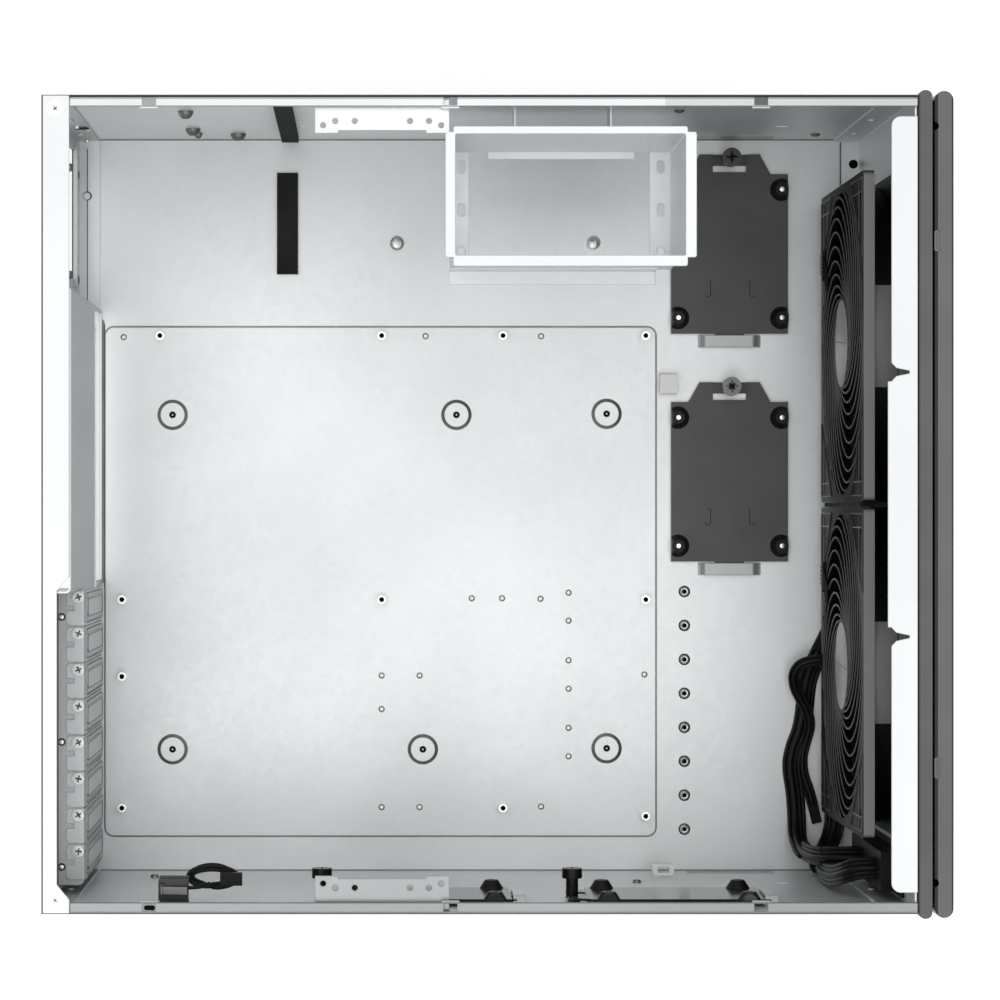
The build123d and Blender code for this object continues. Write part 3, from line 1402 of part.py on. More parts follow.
with BuildPart() as switch_lead:
    add(cord_tube(switch_lead_route, switch_lead_diameter))
switch_lead.part.label = "switch_lead"
export_step(switch_lead.part, "parts/switch_lead.step")

with BuildPart() as switch_hank:
    hank_top = switch_lead_route[-1][2]
    with BuildSketch(Plane.XY.offset(hank_top)):
        with Locations(switch_hank_middle):
            SlotOverall(switch_hank_length, switch_hank_depth)
    extrude(amount=-switch_hank_height)
switch_hank.part.label = "switch_hank"
export_step(switch_hank.part, "parts/switch_hank.step")

with BuildPart() as switch_plug:
    plug_x = switch_hank_middle[0] + switch_plug_size[0] / 4
    plug_range = (plug_x, plug_x + switch_plug_size[0])
    plug_span = (switch_hank_middle[1] - switch_plug_size[1] / 2, switch_hank_middle[1] + switch_plug_size[1] / 2)
    block(plug_range, plug_span, (hank_top, hank_top + switch_plug_size[2]))
switch_plug.part.label = "switch_plug"
export_step(switch_plug.part, "parts/switch_plug.step")
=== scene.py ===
"""Dresses the empty rackmount server case: materials, fine detail, loose wiring, light and camera."""
import math

import bmesh
import bpy
from mathutils import Matrix, Vector


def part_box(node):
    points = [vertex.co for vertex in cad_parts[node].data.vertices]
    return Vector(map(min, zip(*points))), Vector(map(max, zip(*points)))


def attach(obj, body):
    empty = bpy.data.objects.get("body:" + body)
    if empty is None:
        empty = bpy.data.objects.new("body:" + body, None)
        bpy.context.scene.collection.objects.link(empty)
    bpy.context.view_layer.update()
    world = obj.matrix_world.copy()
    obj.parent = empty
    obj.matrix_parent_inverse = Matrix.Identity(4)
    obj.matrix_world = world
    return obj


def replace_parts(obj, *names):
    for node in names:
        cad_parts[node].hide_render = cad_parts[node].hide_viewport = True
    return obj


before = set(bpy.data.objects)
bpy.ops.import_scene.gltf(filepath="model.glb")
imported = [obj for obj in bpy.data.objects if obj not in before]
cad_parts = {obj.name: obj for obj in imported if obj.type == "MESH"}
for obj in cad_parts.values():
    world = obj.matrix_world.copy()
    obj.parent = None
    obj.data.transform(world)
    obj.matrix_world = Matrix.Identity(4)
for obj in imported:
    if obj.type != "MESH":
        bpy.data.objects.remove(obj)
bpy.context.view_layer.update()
scene = bpy.context.scene
MM = 0.001

# ---------------------------------------------------------------- sizes and places in millimetres
UP = (0, 0, 1)
wall_face = 218.8
wall_inward = {1: (0, -1, 0), -1: (0, 1, 0)}
floor_top = 1.2
floor_low = 0.1
board_top = 2.7
board_corner = (-226.8, -197.8)
board_span = (329.0, 304.0)
slot_pitch = 20.32
slot_places = [-51.8 - slot_pitch * number for number in range(8)]
tapped_places = [(119.6, y) for y in slot_places]
slot_screw_x = -231.5
fan_places = (91.5, -91.5)
fan_height = 110
floor_tray_places = ((146.4, 206.7), (146.4, 70.5))
tray_half_width = 34.9
tray_hole_side = 30.86
tray_hole_reaches = (18.3, 94.9)
supply_middle_x = -237.7
stud_y = 156.5
door_clip_places = (141.4, -141.4)

# ---------------------------------------------------------------- camera
camera_data = bpy.data.cameras.new("camera")
camera = bpy.data.objects.new("camera", camera_data)
scene.collection.objects.link(camera)
camera.location = (-0.0662, -0.003, 2.1)
camera_data.sensor_width = 36.0
camera_data.lens = 126.2
camera_data.shift_x = 0.126
camera_data.shift_y = 0.010
camera_data.clip_start = 0.05
camera_data.clip_end = 20.0
scene.camera = camera


# ---------------------------------------------------------------- wiring
def free_cord(name, points, diameter, replaced, with_pieces, strands=()):
    """A cord on a smooth spline with these control points, in millimetres, and strands of a ribbon beside it."""
    curve = bpy.data.curves.new(name, "CURVE")
    curve.dimensions = "3D"
    # each point's radius is the cord's own, so that the curve's box is no bigger than the cord
    curve.bevel_depth = 1.0
    curve.bevel_resolution = 4
    curve.resolution_u = 10
    curve.use_fill_caps = True
    spline = curve.splines.new("NURBS")
    spline.points.add(len(points) - 1)
    for place, point in zip(points, spline.points):
        point.co = (*(value * MM for value in place), 1.0)
        point.radius = diameter / 2 * MM
    spline.order_u = 3
    spline.use_endpoint_u = True
    cord = bpy.data.objects.new(name, curve)
    scene.collection.objects.link(cord)
    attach(cord, "case")
    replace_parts(cord, *replaced)
    curve.materials.append(cord_rubber)
    carried = [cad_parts[node] for node in with_pieces]
    if strands:
        carried.append(ribbon_strands(name + "_strands", curve, strands))


def ribbon_strands(name, curve, strands):
    """Round strands beside a cord's own line; each is (how far sideways, how far up, radius).

    They lie flat beside the cord near the floor, and side by side along Y where it hangs above that.
    """
    flat_below, hangs_above = 30.0, 60.0
    bare = curve.copy()
    bare.bevel_depth = 0
    carrier = bpy.data.objects.new(name, bare)
    line = [vert.co.copy() / MM for vert in bpy.data.meshes.new_from_object(carrier).vertices]
    bpy.data.objects.remove(carrier)
    across = Vector((0, 1, 0))
    shape = bmesh.new()
    for sideways, up, radius in strands:
        points = []
        for index, place in enumerate(line):
            heading = (line[min(index + 1, len(line) - 1)] - line[max(index - 1, 0)]).normalized()
            lying = min(max((hangs_above - place.z) / (hangs_above - flat_below), 0.0), 1.0)
            flat = heading.cross(Vector(UP))
            side = across * (1 - lying) + flat.normalized() * lying if flat.length > 0.05 else across
            side = (side - side.dot(heading) * heading).normalized()
            points.append(place + side * sideways + Vector((0, 0, up)) * lying)
        tube(shape, points, radius, 8)
    return piece(name, shape, cord_rubber)


usb_cable_route = [
    (211.7, -201.4, 100.0), (202.6, -201.4, 100.0), (193.2, -202.4, 93.4), (187.8, -203.4, 80.0),
    (185.8, -203.8, 60.0), (185.0, -203.4, 40.0), (184.8, -201.4, 24.0), (185.0, -196.6, 11.0),
    (185.6, -186.0, 4.2), (184.6, -171.0, 3.8), (182.0, -156.0, 3.8), (184.2, -144.4, 3.8),
    (188.4, -134.6, 3.8), (190.4, -122.0, 3.8), (191.4, -108.6, 3.8), (194.2, -98.0, 3.8),
    (199.2, -88.0, 3.8),
]
panel_leads_route = [
    (211.7, -201.4, 156.0), (202.4, -201.4, 156.0), (195.4, -205.2, 147.4), (192.6, -208.8, 128.0),
    (191.8, -210.8, 103.0), (192.0, -211.4, 78.0), (193.4, -211.0, 54.0), (196.8, -209.0, 33.0),
    (202.2, -205.0, 16.0), (207.2, -198.4, 7.0), (209.8, -187.6, 5.0), (209.2, -176.4, 5.0),
]
fan_lead_route = [
    (199.2, -92.0, 22.5), (189.6, -92.0, 22.5), (182.6, -99.0, 19.4), (184.0, -108.4, 14.2),
    (188.2, -115.6, 10.0), (192.6, -123.2, 8.2), (194.6, -132.0, 5.4), (192.0, -141.4, 3.4),
    (189.6, -151.4, 3.1), (190.6, -162.0, 3.1), (194.2, -171.0, 3.1), (196.2, -179.4, 3.1),
]
switch_lead_route = [
    (-167.0, -207.9, 198.5), (-161.0, -207.9, 198.5), (-156.2, -206.4, 194.2), (-156.2, -206.4, 188.0),
]
hank_turns = 5
hank_turn_points = 14
hank_middle = (-154.6, -203.9)
hank_reach = (12.4, 5.2)
hank_top = 185.2
hank_drop = 2.25
for turn in range(hank_turns):
    for step in range(hank_turn_points):
        angle = 2 * math.pi * step / hank_turn_points
        length_share = 1.0 + 0.16 * math.sin(2.3 * turn + 0.7)
        width_share = 1.0 + 0.22 * math.sin(1.7 * turn + 2.0)
        switch_lead_route.append((
            hank_middle[0] + 0.6 * math.sin(2.9 * turn) + hank_reach[0] * length_share * math.sin(angle),
            hank_middle[1] + 0.5 * math.cos(3.1 * turn) - hank_reach[1] * width_share * math.cos(angle),
            hank_top - hank_drop * (turn + step / hank_turn_points),
        ))


# ---------------------------------------------------------------- materials
def node_tree(name):
    """An empty material with its shader and output joined."""
    material = bpy.data.materials.new(name)
    material.use_nodes = True
    tree = material.node_tree
    tree.nodes.clear()
    output = tree.nodes.new("ShaderNodeOutputMaterial")
    shader = tree.nodes.new("ShaderNodeBsdfPrincipled")
    tree.links.new(shader.outputs["BSDF"], output.inputs["Surface"])
    return material, tree, shader


def texture(tree, kind, scale, stretch=(1, 1, 1), **settings):
    """A procedural texture on object coordinates in metres."""
    place = tree.nodes.new("ShaderNodeTexCoord")
    mapping = tree.nodes.new("ShaderNodeMapping")
    mapping.inputs["Scale"].default_value = stretch
    tree.links.new(place.outputs["Object"], mapping.inputs["Vector"])
    node = tree.nodes.new(kind)
    node.inputs["Scale"].default_value = scale
    for key, value in settings.items():
        if key in node.inputs:
            node.inputs[key].default_value = value
        else:
            setattr(node, key, value)
    tree.links.new(mapping.outputs["Vector"], node.inputs["Vector"])
    return node


def ramp(tree, source, stops):
    """Maps a value to colours; stops are (position, colour)."""
    node = tree.nodes.new("ShaderNodeValToRGB")
    elements = node.color_ramp.elements
    while len(elements) > 1:
        elements.remove(elements[0])
    for index, (position, colour) in enumerate(stops):
        element = elements[0] if index == 0 else elements.new(position)
        element.position = position
        element.color = (*colour, 1.0) if len(colour) == 3 else colour
    tree.links.new(source, node.inputs["Fac"])
    return node


def grey(value):
    """A grey with a trace of blue, as the zinc has."""
    return (value * 0.985, value, value * 1.004)


def even(share):
    """An even grey as a full colour."""
    return (share, share, share, 1)


def feed(tree, value, socket):
    """Links an output to a socket, or sets the socket to a plain value."""
    if hasattr(value, "is_output"):
        tree.links.new(value, socket)
    else:
        socket.default_value = value


def mix_colour(tree, blend, factor, first, second):
    """Mixes two colours, each an output or a plain colour."""
    node = tree.nodes.new("ShaderNodeMix")
    node.data_type = "RGBA"
    node.blend_type = blend
    feed(tree, factor, node.inputs["Factor"])
    feed(tree, first, node.inputs["A"])
    feed(tree, second, node.inputs["B"])
    return node.outputs["Result"]


def object_axes(tree):
    """The object coordinates in metres, as X, Y and Z outputs."""
    place = tree.nodes.new("ShaderNodeTexCoord")
    split = tree.nodes.new("ShaderNodeSeparateXYZ")
    tree.links.new(place.outputs["Object"], split.inputs["Vector"])
    return split


def bump(tree, shader, height, strength, distance, edge=0.0):
    """Fine relief, over edges that catch the light as if rounded."""
    node = tree.nodes.new("ShaderNodeBump")
    if edge:
        rounding = tree.nodes.new("ShaderNodeBevel")
        rounding.samples = 4
        rounding.inputs["Radius"].default_value = edge
        tree.links.new(rounding.outputs["Normal"], node.inputs["Normal"])
    node.inputs["Strength"].default_value = strength
    node.inputs["Distance"].default_value = distance
    tree.links.new(height, node.inputs["Height"])
    tree.links.new(node.outputs["Normal"], shader.inputs["Normal"])


def within(tree, split, axis, low, high):
    """1 where an object coordinate lies between two values."""
    node = tree.nodes.new("ShaderNodeMath")
    node.operation = "COMPARE"
    node.inputs[1].default_value = (low + high) / 2
    node.inputs[2].default_value = (high - low) / 2
    tree.links.new(split.outputs[axis], node.inputs[0])
    return node.outputs[0]


def times(tree, first, second):
    """The product of two values, each an output or a plain number."""
    node = tree.nodes.new("ShaderNodeMath")
    node.operation = "MULTIPLY"
    feed(tree, first, node.inputs[0])
    feed(tree, second, node.inputs[1])
    return node.outputs[0]


def zinc_material(name, low, high, metallic=0.58, rough=0.42, painted=None, shade_and_tone_zones=()):
    """Galvanised sheet: soft spangle, slow mottling, fine brushing; black paint outside, darker in some zones, most of
    them painted shade.

    painted is (x, y): sheet further out than that is black. A zone is (ranges by axis, share of the tone).
    """
    material, tree, shader = node_tree(name)
    broad = texture(tree, "ShaderNodeTexNoise", 7.0, Detail=2.0, Roughness=0.5)
    cells = texture(tree, "ShaderNodeTexVoronoi", 260.0, Randomness=1.0)
    fine = texture(tree, "ShaderNodeTexNoise", 1100.0, (0.35, 1, 1), Detail=3.0)
    broad_colour = ramp(tree, broad.outputs["Fac"], [(0.3, grey(low)), (0.7, grey(high))]).outputs["Color"]
    cell_grey = tree.nodes.new("ShaderNodeRGBToBW")
    tree.links.new(cells.outputs["Color"], cell_grey.inputs["Color"])
    cell_tone = ramp(tree, cell_grey.outputs["Val"], [(0.0, grey(0.965)), (1.0, grey(1.0))]).outputs["Color"]
    colour = mix_colour(tree, "MULTIPLY", 1.0, broad_colour, cell_tone)
    rough_ramp = ramp(tree, cell_grey.outputs["Val"], [(0.0, grey(rough - 0.03)), (1.0, grey(rough + 0.04))])
    split = object_axes(tree)
    # darker zones, most of them painted shade
    for ranges, share in shade_and_tone_zones:
        zone = 1.0
        for axis, (start, end) in ranges.items():
            zone = times(tree, zone, within(tree, split, axis, start, end))
        darker_colour = mix_colour(tree, "MULTIPLY", 1.0, colour, even(share))
        colour = mix_colour(tree, "MIX", zone, colour, darker_colour)
    if painted:
        along, across = painted
        bare = times(tree, within(tree, split, "X", -along, along), within(tree, split, "Y", -across, across))
        colour = mix_colour(tree, "MIX", bare, OUTSIDE_PAINT, colour)
        tree.links.new(times(tree, bare, metallic), shader.inputs["Metallic"])
    else:
        shader.inputs["Metallic"].default_value = metallic
    tree.links.new(colour, shader.inputs["Base Color"])
    tree.links.new(rough_ramp.outputs["Color"], shader.inputs["Roughness"])
    bump(tree, shader, fine.outputs["Fac"], 0.08, 0.0004, 0.0007)
    return material


def plain_material(name, low, high, rough=0.5, metallic=0.0, grain=600.0, strength=0.15, distance=0.0003, tint=None,
                   coat=0.0, dust_and_sheen=0.0, dust_and_sheen_above=-1.0, edges=None, tone_and_shade_bands=(), specular=0.5):
    """Paint, plastic, rubber or plated metal: grained, with a slow drift of tone.

    Top faces above a height take a paler tone, dusty and with painted sheen of the light from above; edges is a mask
    of painted highlight; and each band (axis, start, end, tone) is the thing's own darker tone or painted shade.
    """
    material, tree, shader = node_tree(name)
    broad = texture(tree, "ShaderNodeTexNoise", 30.0, Detail=3.0)
    fine = texture(tree, "ShaderNodeTexNoise", grain, Detail=4.0, Roughness=0.65)
    tone = tint or (1.0, 1.0, 1.008)
    stops = [(0.32, tuple(low * t for t in tone)), (0.68, tuple(high * t for t in tone))]
    colour = ramp(tree, broad.outputs["Fac"], stops).outputs["Color"]
    # top faces: dusty, with painted sheen of the light from above
    if dust_and_sheen:
        facing = tree.nodes.new("ShaderNodeNewGeometry")
        split = tree.nodes.new("ShaderNodeSeparateXYZ")
        tree.links.new(facing.outputs["True Normal"], split.inputs["Vector"])
        level = ramp(tree, split.outputs["Z"], [(0.55, (0, 0, 0)), (0.95, (1, 1, 1))]).outputs["Color"]
        level = times(tree, level, within(tree, object_axes(tree), "Z", dust_and_sheen_above, 1.0))
        colour = mix_colour(tree, "MIX", level, colour, even(dust_and_sheen))
    # painted highlight where the edges mask is set
    if edges:
        colour = mix_colour(tree, "MIX", edges(tree), colour, even(0.13))
    # bands of the thing's own darker tone or of painted shade
    if tone_and_shade_bands:
        where = object_axes(tree)
        for axis, start, end, shade in tone_and_shade_bands:
            colour = mix_colour(tree, "MIX", within(tree, where, axis, start, end), colour, even(shade))
    tree.links.new(colour, shader.inputs["Base Color"])
    rough_stops = [(0.3, grey(max(rough - 0.08, 0.02))), (0.7, grey(min(rough + 0.08, 1)))]
    tree.links.new(ramp(tree, fine.outputs["Fac"], rough_stops).outputs["Color"], shader.inputs["Roughness"])
    shader.inputs["Metallic"].default_value = metallic
    shader.inputs["Coat Weight"].default_value = coat
    shader.inputs["Specular IOR Level"].default_value = specular
    bump(tree, shader, fine.outputs["Fac"], strength, distance)
    return material


def vane_edge_highlights(tree):
    """The rear edges of the fans' spiral vanes, between hub and ring, as a mask of painted highlight."""
    split = object_axes(tree)
    across = tree.nodes.new("ShaderNodeMath")
    across.operation = "ABSOLUTE"
    tree.links.new(split.outputs["Y"], across.inputs[0])
    joined = tree.nodes.new("ShaderNodeCombineXYZ")
    joined.inputs["X"].default_value = 0.0
    tree.links.new(across.outputs[0], joined.inputs["Y"])
    tree.links.new(split.outputs["Z"], joined.inputs["Z"])
    reach = tree.nodes.new("ShaderNodeVectorMath")
    reach.operation = "DISTANCE"
    reach.inputs[1].default_value = (0.0, fan_places[0] * MM, fan_height * MM)
    tree.links.new(joined.outputs["Vector"], reach.inputs[0])
    ring = tree.nodes.new("ShaderNodeMath")
    ring.operation = "COMPARE"
    ring.inputs[1].default_value, ring.inputs[2].default_value = 0.0565, 0.0287
    tree.links.new(reach.outputs["Value"], ring.inputs[0])
    return times(tree, ring.outputs[0], within(tree, split, "X", 0.150, fan_face + 0.0004))


# sheet further out than this is painted black; the darker zones are painted shade on the rims and along the walls'
# joints with the floor, the +Y rim's black painted outer edge, and a darker tone on the tray loops
OUTSIDE = (0.2438, 0.2193)
OUTSIDE_PAINT = (0.022, 0.022, 0.024, 1)
zinc = zinc_material("zinc", 0.75, 0.87, painted=OUTSIDE, shade_and_tone_zones=[
    # painted shade: the -Y rim darker, and the front part of the +Y rim a little darker
    ({"Y": (-0.2194, -0.2120), "Z": (0.2187, 0.2210)}, 0.45),
    ({"X": (0.0900, 0.2300), "Y": (0.2120, 0.2194), "Z": (0.2187, 0.2210)}, 0.80),
    # painted shade on the +Y rim's rounded outer fold, then the rim's black painted outer edge
    ({"Y": (0.2174, 0.2210), "Z": (0.2187, 0.2210)}, 0.55),
    ({"Y": (0.2184, 0.2210), "Z": (0.2187, 0.2210)}, 0.12),
    # painted shade: dark lines along both rims' inner edges and along the walls' joints with the floor
    ({"Y": (0.2132, 0.2140), "Z": (0.2170, 0.2210)}, 0.45),
    ({"Y": (-0.2141, -0.2133), "Z": (0.2170, 0.2210)}, 0.55),
    ({"Y": (0.2180, 0.2189), "Z": (-0.0010, 0.0030)}, 0.45),
    ({"Y": (-0.2189, -0.2180), "Z": (-0.0010, 0.0030)}, 0.45),
    # the tray loops, darker
    ({"X": (0.1200, 0.1720), "Z": (0.0030, 0.0200)}, 0.60),
])
zinc_rear = zinc_material("zinc_rear", 0.82, 0.88, painted=OUTSIDE, shade_and_tone_zones=[
    # painted shade: the rear panel's inside below the rim, darker as in its recess
    ({"Z": (0.006, 0.2150)}, 0.62),
])
# the card slot covers in a darker copy of the zinc, as painted shade of the recess they sit in
zinc_cover_shaded = zinc_material("zinc_cover_shaded", 0.56, 0.64, rough=0.40)
zinc_cage = zinc_material("zinc_cage", 0.80, 0.87, rough=0.38, shade_and_tone_zones=[
    # painted shade: dark lines along the hems' edges and in the gaps beside them
    ({"Y": (0.1270, 0.1336), "Z": (0.2180, 0.2210)}, 0.84),
    ({"X": (-0.0230, 0.1010), "Y": (0.1326, 0.1337), "Z": (0.2170, 0.2210)}, 0.35),
    ({"X": (-0.0242, -0.0231), "Z": (0.2170, 0.2210)}, 0.45),
    ({"X": (0.1006, 0.1016), "Z": (0.2170, 0.2210)}, 0.50),
])
zinc_part = zinc_material("zinc_part", 0.80, 0.87, rough=0.38, painted=OUTSIDE)
# the two top brackets in a lit and a shaded copy of the zinc: painted light and painted shade
zinc_lit = zinc_material("zinc_lit", 0.84, 0.90, rough=0.32)
zinc_shaded = zinc_material("zinc_shaded", 0.37, 0.43, rough=0.36)
steel = plain_material("steel", 0.60, 0.78, rough=0.28, metallic=0.9, grain=1500.0, strength=0.06)
nickel = plain_material("nickel", 0.80, 0.92, rough=0.20, metallic=0.95, grain=1200.0, strength=0.05)
dark_steel = plain_material("dark_steel", 0.16, 0.26, rough=0.32, metallic=0.8, grain=1200.0, strength=0.08)
dark_plate = plain_material("dark_plate", 0.06, 0.10, rough=0.36, metallic=0.6, grain=1200.0, strength=0.1)
clip_grey = plain_material("clip_grey", 0.10, 0.14, rough=0.36, grain=1200.0, strength=0.1)
switch_black = plain_material("switch_black", 0.010, 0.016, rough=0.38, grain=1200.0, strength=0.15)
tray_black = plain_material("tray_black", 0.006, 0.012, rough=0.34, grain=1600.0, strength=0.2, specular=0.2)
tray_gloss = plain_material("tray_gloss", 0.030, 0.040, rough=0.14, grain=1600.0, strength=0.03)
# the wall trays' thumbscrews black, and the floor tray thumbscrew by the +Y wall darker
thumb_steel = plain_material("thumb_steel", 0.13, 0.18, rough=0.30, metallic=0.6, grain=1200.0, strength=0.1, tone_and_shade_bands=[
    ("Y", -0.230, -0.150, 0.008),
    ("Y", 0.195, 0.215, 0.055),
])
tray_paint = plain_material("tray_paint", 0.078, 0.094, rough=0.52, grain=1800.0, strength=0.35)
black_plastic = plain_material("black_plastic", 0.006, 0.010, rough=0.42, grain=1400.0, strength=0.2, specular=0.15)
fan_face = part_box("fan_frame_1")[0][0]
# the fans' plastic: paler top faces with painted sheen, and painted highlight on the vanes' rear edges
fan_plastic = plain_material(
    "fan_plastic", 0.005, 0.009, rough=0.40, grain=1400.0, strength=0.2, dust_and_sheen=0.19, dust_and_sheen_above=0.1935,
    edges=vane_edge_highlights, specular=0.05)
black_edge = plain_material("black_edge", 0.045, 0.060, rough=0.36, grain=1400.0, strength=0.15)
bezel_low, bezel_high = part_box("front_bezel")
door_low, door_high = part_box("door_panel")
# painted shade: the bezel's rear and front edges darker, where they meet the gaps
front_plastic = plain_material("front_plastic", 0.105, 0.125, rough=0.46, grain=2200.0, strength=0.4, tone_and_shade_bands=[
    ("X", bezel_low[0] - 0.001, bezel_low[0] + 0.0014, 0.04),
    ("X", bezel_high[0] - 0.0006, bezel_high[0] + 0.001, 0.04),
])
# painted shade: the door's rear edge black along its gap, and its front edge dark
door_paint = plain_material("door_paint", 0.120, 0.140, rough=0.34, metallic=0.25, grain=1500.0, strength=0.2, tone_and_shade_bands=[
    ("X", door_low[0] - 0.001, door_low[0] + 0.0017, 0.008),
    ("X", door_high[0] - 0.0009, door_high[0] + 0.001, 0.015),
])
mesh_paint = plain_material("mesh_paint", 0.045, 0.060, rough=0.45, grain=1500.0, strength=0.3)
label_grey = plain_material("label_grey", 0.30, 0.36, rough=0.38, grain=700.0, strength=0.1)
foam = plain_material("foam", 0.010, 0.022, rough=0.95, grain=900.0, strength=0.9, distance=0.0012)
lens = plain_material("lens", 0.62, 0.70, rough=0.12, grain=500.0, strength=0.02, coat=0.6)
nylon = plain_material("nylon", 0.86, 0.93, rough=0.30, grain=800.0, strength=0.08, tint=(1.0, 1.0, 0.98))
# black for the rear panel's lines of painted shade, and for the supply strip's edge and rivet
black_steel_and_shade = plain_material("black_steel_and_shade", 0.008, 0.014, rough=0.45, grain=900.0, strength=0.1)
# black that stands for the shade inside holes, recesses and gaps
hole_shade_black = plain_material("hole_shade_black", 0.004, 0.006, rough=0.8, grain=900.0, strength=0.1, specular=0.1)
shade_steel = plain_material("shade_steel", 0.20, 0.27, rough=0.45, metallic=0.8, grain=900.0, strength=0.1)
cord_rubber = plain_material("cord_rubber", 0.004, 0.008, rough=0.42, grain=900.0, strength=0.2, specular=0.22)

NODE_MATERIALS = {
    zinc: ["chassis_base"],
    zinc_rear: ["rear_panel"],
    zinc_cover_shaded: ["slot_cover_%d" % number for number in range(1, 9)],
    zinc_cage: ["drive_cage"],
    zinc_part: ["front_panel", "cage_bracket", "cage_rail", "floor_studs", "rivets"],
    zinc_lit: ["top_bracket_1"],
    zinc_shaded: ["top_bracket_2"],
    nickel: ["slot_screws", "corner_screws", "board_standoffs", "usb_ports"],
    dark_steel: ["fan_screws", "door_hinge_pins"],
    shade_steel: ["switch_lever"],
    dark_plate: ["switch_bracket"],
    clip_grey: ["door_clips"],
    thumb_steel: ["tray_thumbscrews"],
    tray_paint: ["floor_tray_1", "floor_tray_2"],
    tray_gloss: ["wall_tray_1", "wall_tray_2"],
    fan_plastic: ["fan_frame_1", "fan_frame_2", "fan_rotor_1", "fan_rotor_2"],
    black_plastic: ["io_housing", "usb_plug", "panel_plug", "fan_plug", "switch_plug"],
    front_plastic: ["front_bezel", "power_button", "reset_button"],
    door_paint: ["door_panel"],
    mesh_paint: ["door_mesh"],
    foam: ["floor_pad", "wall_pad", "fan_pad", "dust_filter"],
    lens: ["status_lights"],
    nylon: ["floor_saddle", "wall_saddle"],
    switch_black: ["switch_body"],
    cord_rubber: ["usb_cable", "panel_leads", "fan_lead", "switch_lead", "switch_hank"],
}
for material, names in NODE_MATERIALS.items():
    for name in names:
        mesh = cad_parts[name].data
        mesh.materials.clear()
        mesh.materials.append(material)


# ---------------------------------------------------------------- shapes
def basis(origin, up, along=None):
    """Places a shape drawn in millimetres: its z along up, its x along along."""
    z_axis = Vector(up).normalized()
    guess = Vector(along) if along else (Vector((1, 0, 0)) if abs(z_axis.x) < 0.9 else Vector((0, 1, 0)))
    x_axis = (guess - guess.dot(z_axis) * z_axis).normalized()
    y_axis = z_axis.cross(x_axis)
    turn = Matrix((x_axis, y_axis, z_axis)).transposed().to_4x4()
    return Matrix.Translation(Vector(origin) * MM) @ turn @ Matrix.Scale(MM, 4)


def lathe(shape, place, profile, segments=32):
    """Turns a (radius, height) profile about the placed z axis."""
    rings = []
    for step in range(segments):
        angle = 2 * math.pi * step / segments
        rings.append([
            shape.verts.new(place @ Vector((radius * math.cos(angle), radius * math.sin(angle), height)))
            for radius, height in profile
        ])
    for step in range(segments):
        here, there = rings[step], rings[(step + 1) % segments]
        for low in range(len(profile) - 1):
            shape.faces.new((here[low], there[low], there[low + 1], here[low + 1]))


def prism(shape, place, outline, low, high):
    """A plate with that outline between two heights."""
    below, above = (
        [shape.verts.new(place @ Vector((x, y, height))) for x, y in outline]
        for height in (low, high)
    )
    for index in range(len(outline)):
        following = (index + 1) % len(outline)
        shape.faces.new((below[index], below[following], above[following], above[index]))
    shape.faces.new(list(reversed(below)))
    shape.faces.new(above)


def rounded(width, height, radius, steps=5):
    """The outline of a rounded rectangle."""
    points = []
    for quarter, (side, end) in enumerate(((1, 1), (-1, 1), (-1, -1), (1, -1))):
        for step in range(steps + 1):
            angle = math.pi / 2 * (quarter + step / steps)
            points.append((
                side * (width / 2 - radius) + radius * math.cos(angle),
                end * (height / 2 - radius) + radius * math.sin(angle),
            ))
    return points


def disc(width):
    """A round outline."""
    return rounded(width, width, width / 2)


def band(shape, place, outer, inner, low, high):
    """A flat closed band between two outlines of as many points."""
    rows = []
    for outline, height in ((inner, low), (inner, high), (outer, high), (outer, low)):
        rows.append([shape.verts.new(place @ Vector((x, y, height))) for x, y in outline])
    for row in range(4):
        here, there = rows[row], rows[(row + 1) % 4]
        for index in range(len(outer)):
            following = (index + 1) % len(outer)
            shape.faces.new((here[index], here[following], there[following], there[index]))


def tube(shape, points, radius, segments=10):
    """A round bar along these points, in millimetres."""
    path = [Vector(point) for point in points]
    rings = []
    for index, point in enumerate(path):
        heading = (path[min(index + 1, len(path) - 1)] - path[max(index - 1, 0)]).normalized()
        place = basis(point, heading, (0, 0, 1) if abs(heading.z) < 0.9 else (1, 0, 0))
        turns = [2 * math.pi * step / segments for step in range(segments)]
        rings.append([
            shape.verts.new(place @ Vector((radius * math.cos(turn), radius * math.sin(turn), 0))) for turn in turns
        ])
    for here, there in zip(rings, rings[1:]):
        for step in range(segments):
            following = (step + 1) % segments
            shape.faces.new((here[step], here[following], there[following], there[step]))
    shape.faces.new(list(reversed(rings[0])))
    shape.faces.new(rings[-1])


def bar(shape, low, high):
    """A box with rounded upright edges between two corners."""
    wide, deep, tall = (top - bottom for top, bottom in zip(high, low))
    place = basis(((low[0] + high[0]) / 2, (low[1] + high[1]) / 2, low[2]), UP, (1, 0, 0))
    prism(shape, place, rounded(wide, deep, min(wide, deep) * 0.3, steps=3), 0.0, tall)


def cross(shape, place, reach, width, low, high):
    """A cross-shaped recess mark; width is half an arm's."""
    corners = [
        (reach, width), (width, width), (width, reach), (-width, reach), (-width, width), (-reach, width),
        (-reach, -width), (-width, -width), (-width, -reach), (width, -reach), (width, -width), (reach, -width),
    ]
    prism(shape, place, corners, low, high)


def clamp_sideways(shape, place, first, limit):
    """Holds the vertices added since first between two limits along the placed x axis."""
    back = place.inverted()
    for vert in list(shape.verts)[first:]:
        local = back @ vert.co
        local.x = max(min(local.x, limit[1]), limit[0])
        vert.co = place @ local


def corners_of(node):
    """The lowest and highest corner of a node's box."""
    return tuple(Vector(corner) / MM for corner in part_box(node))


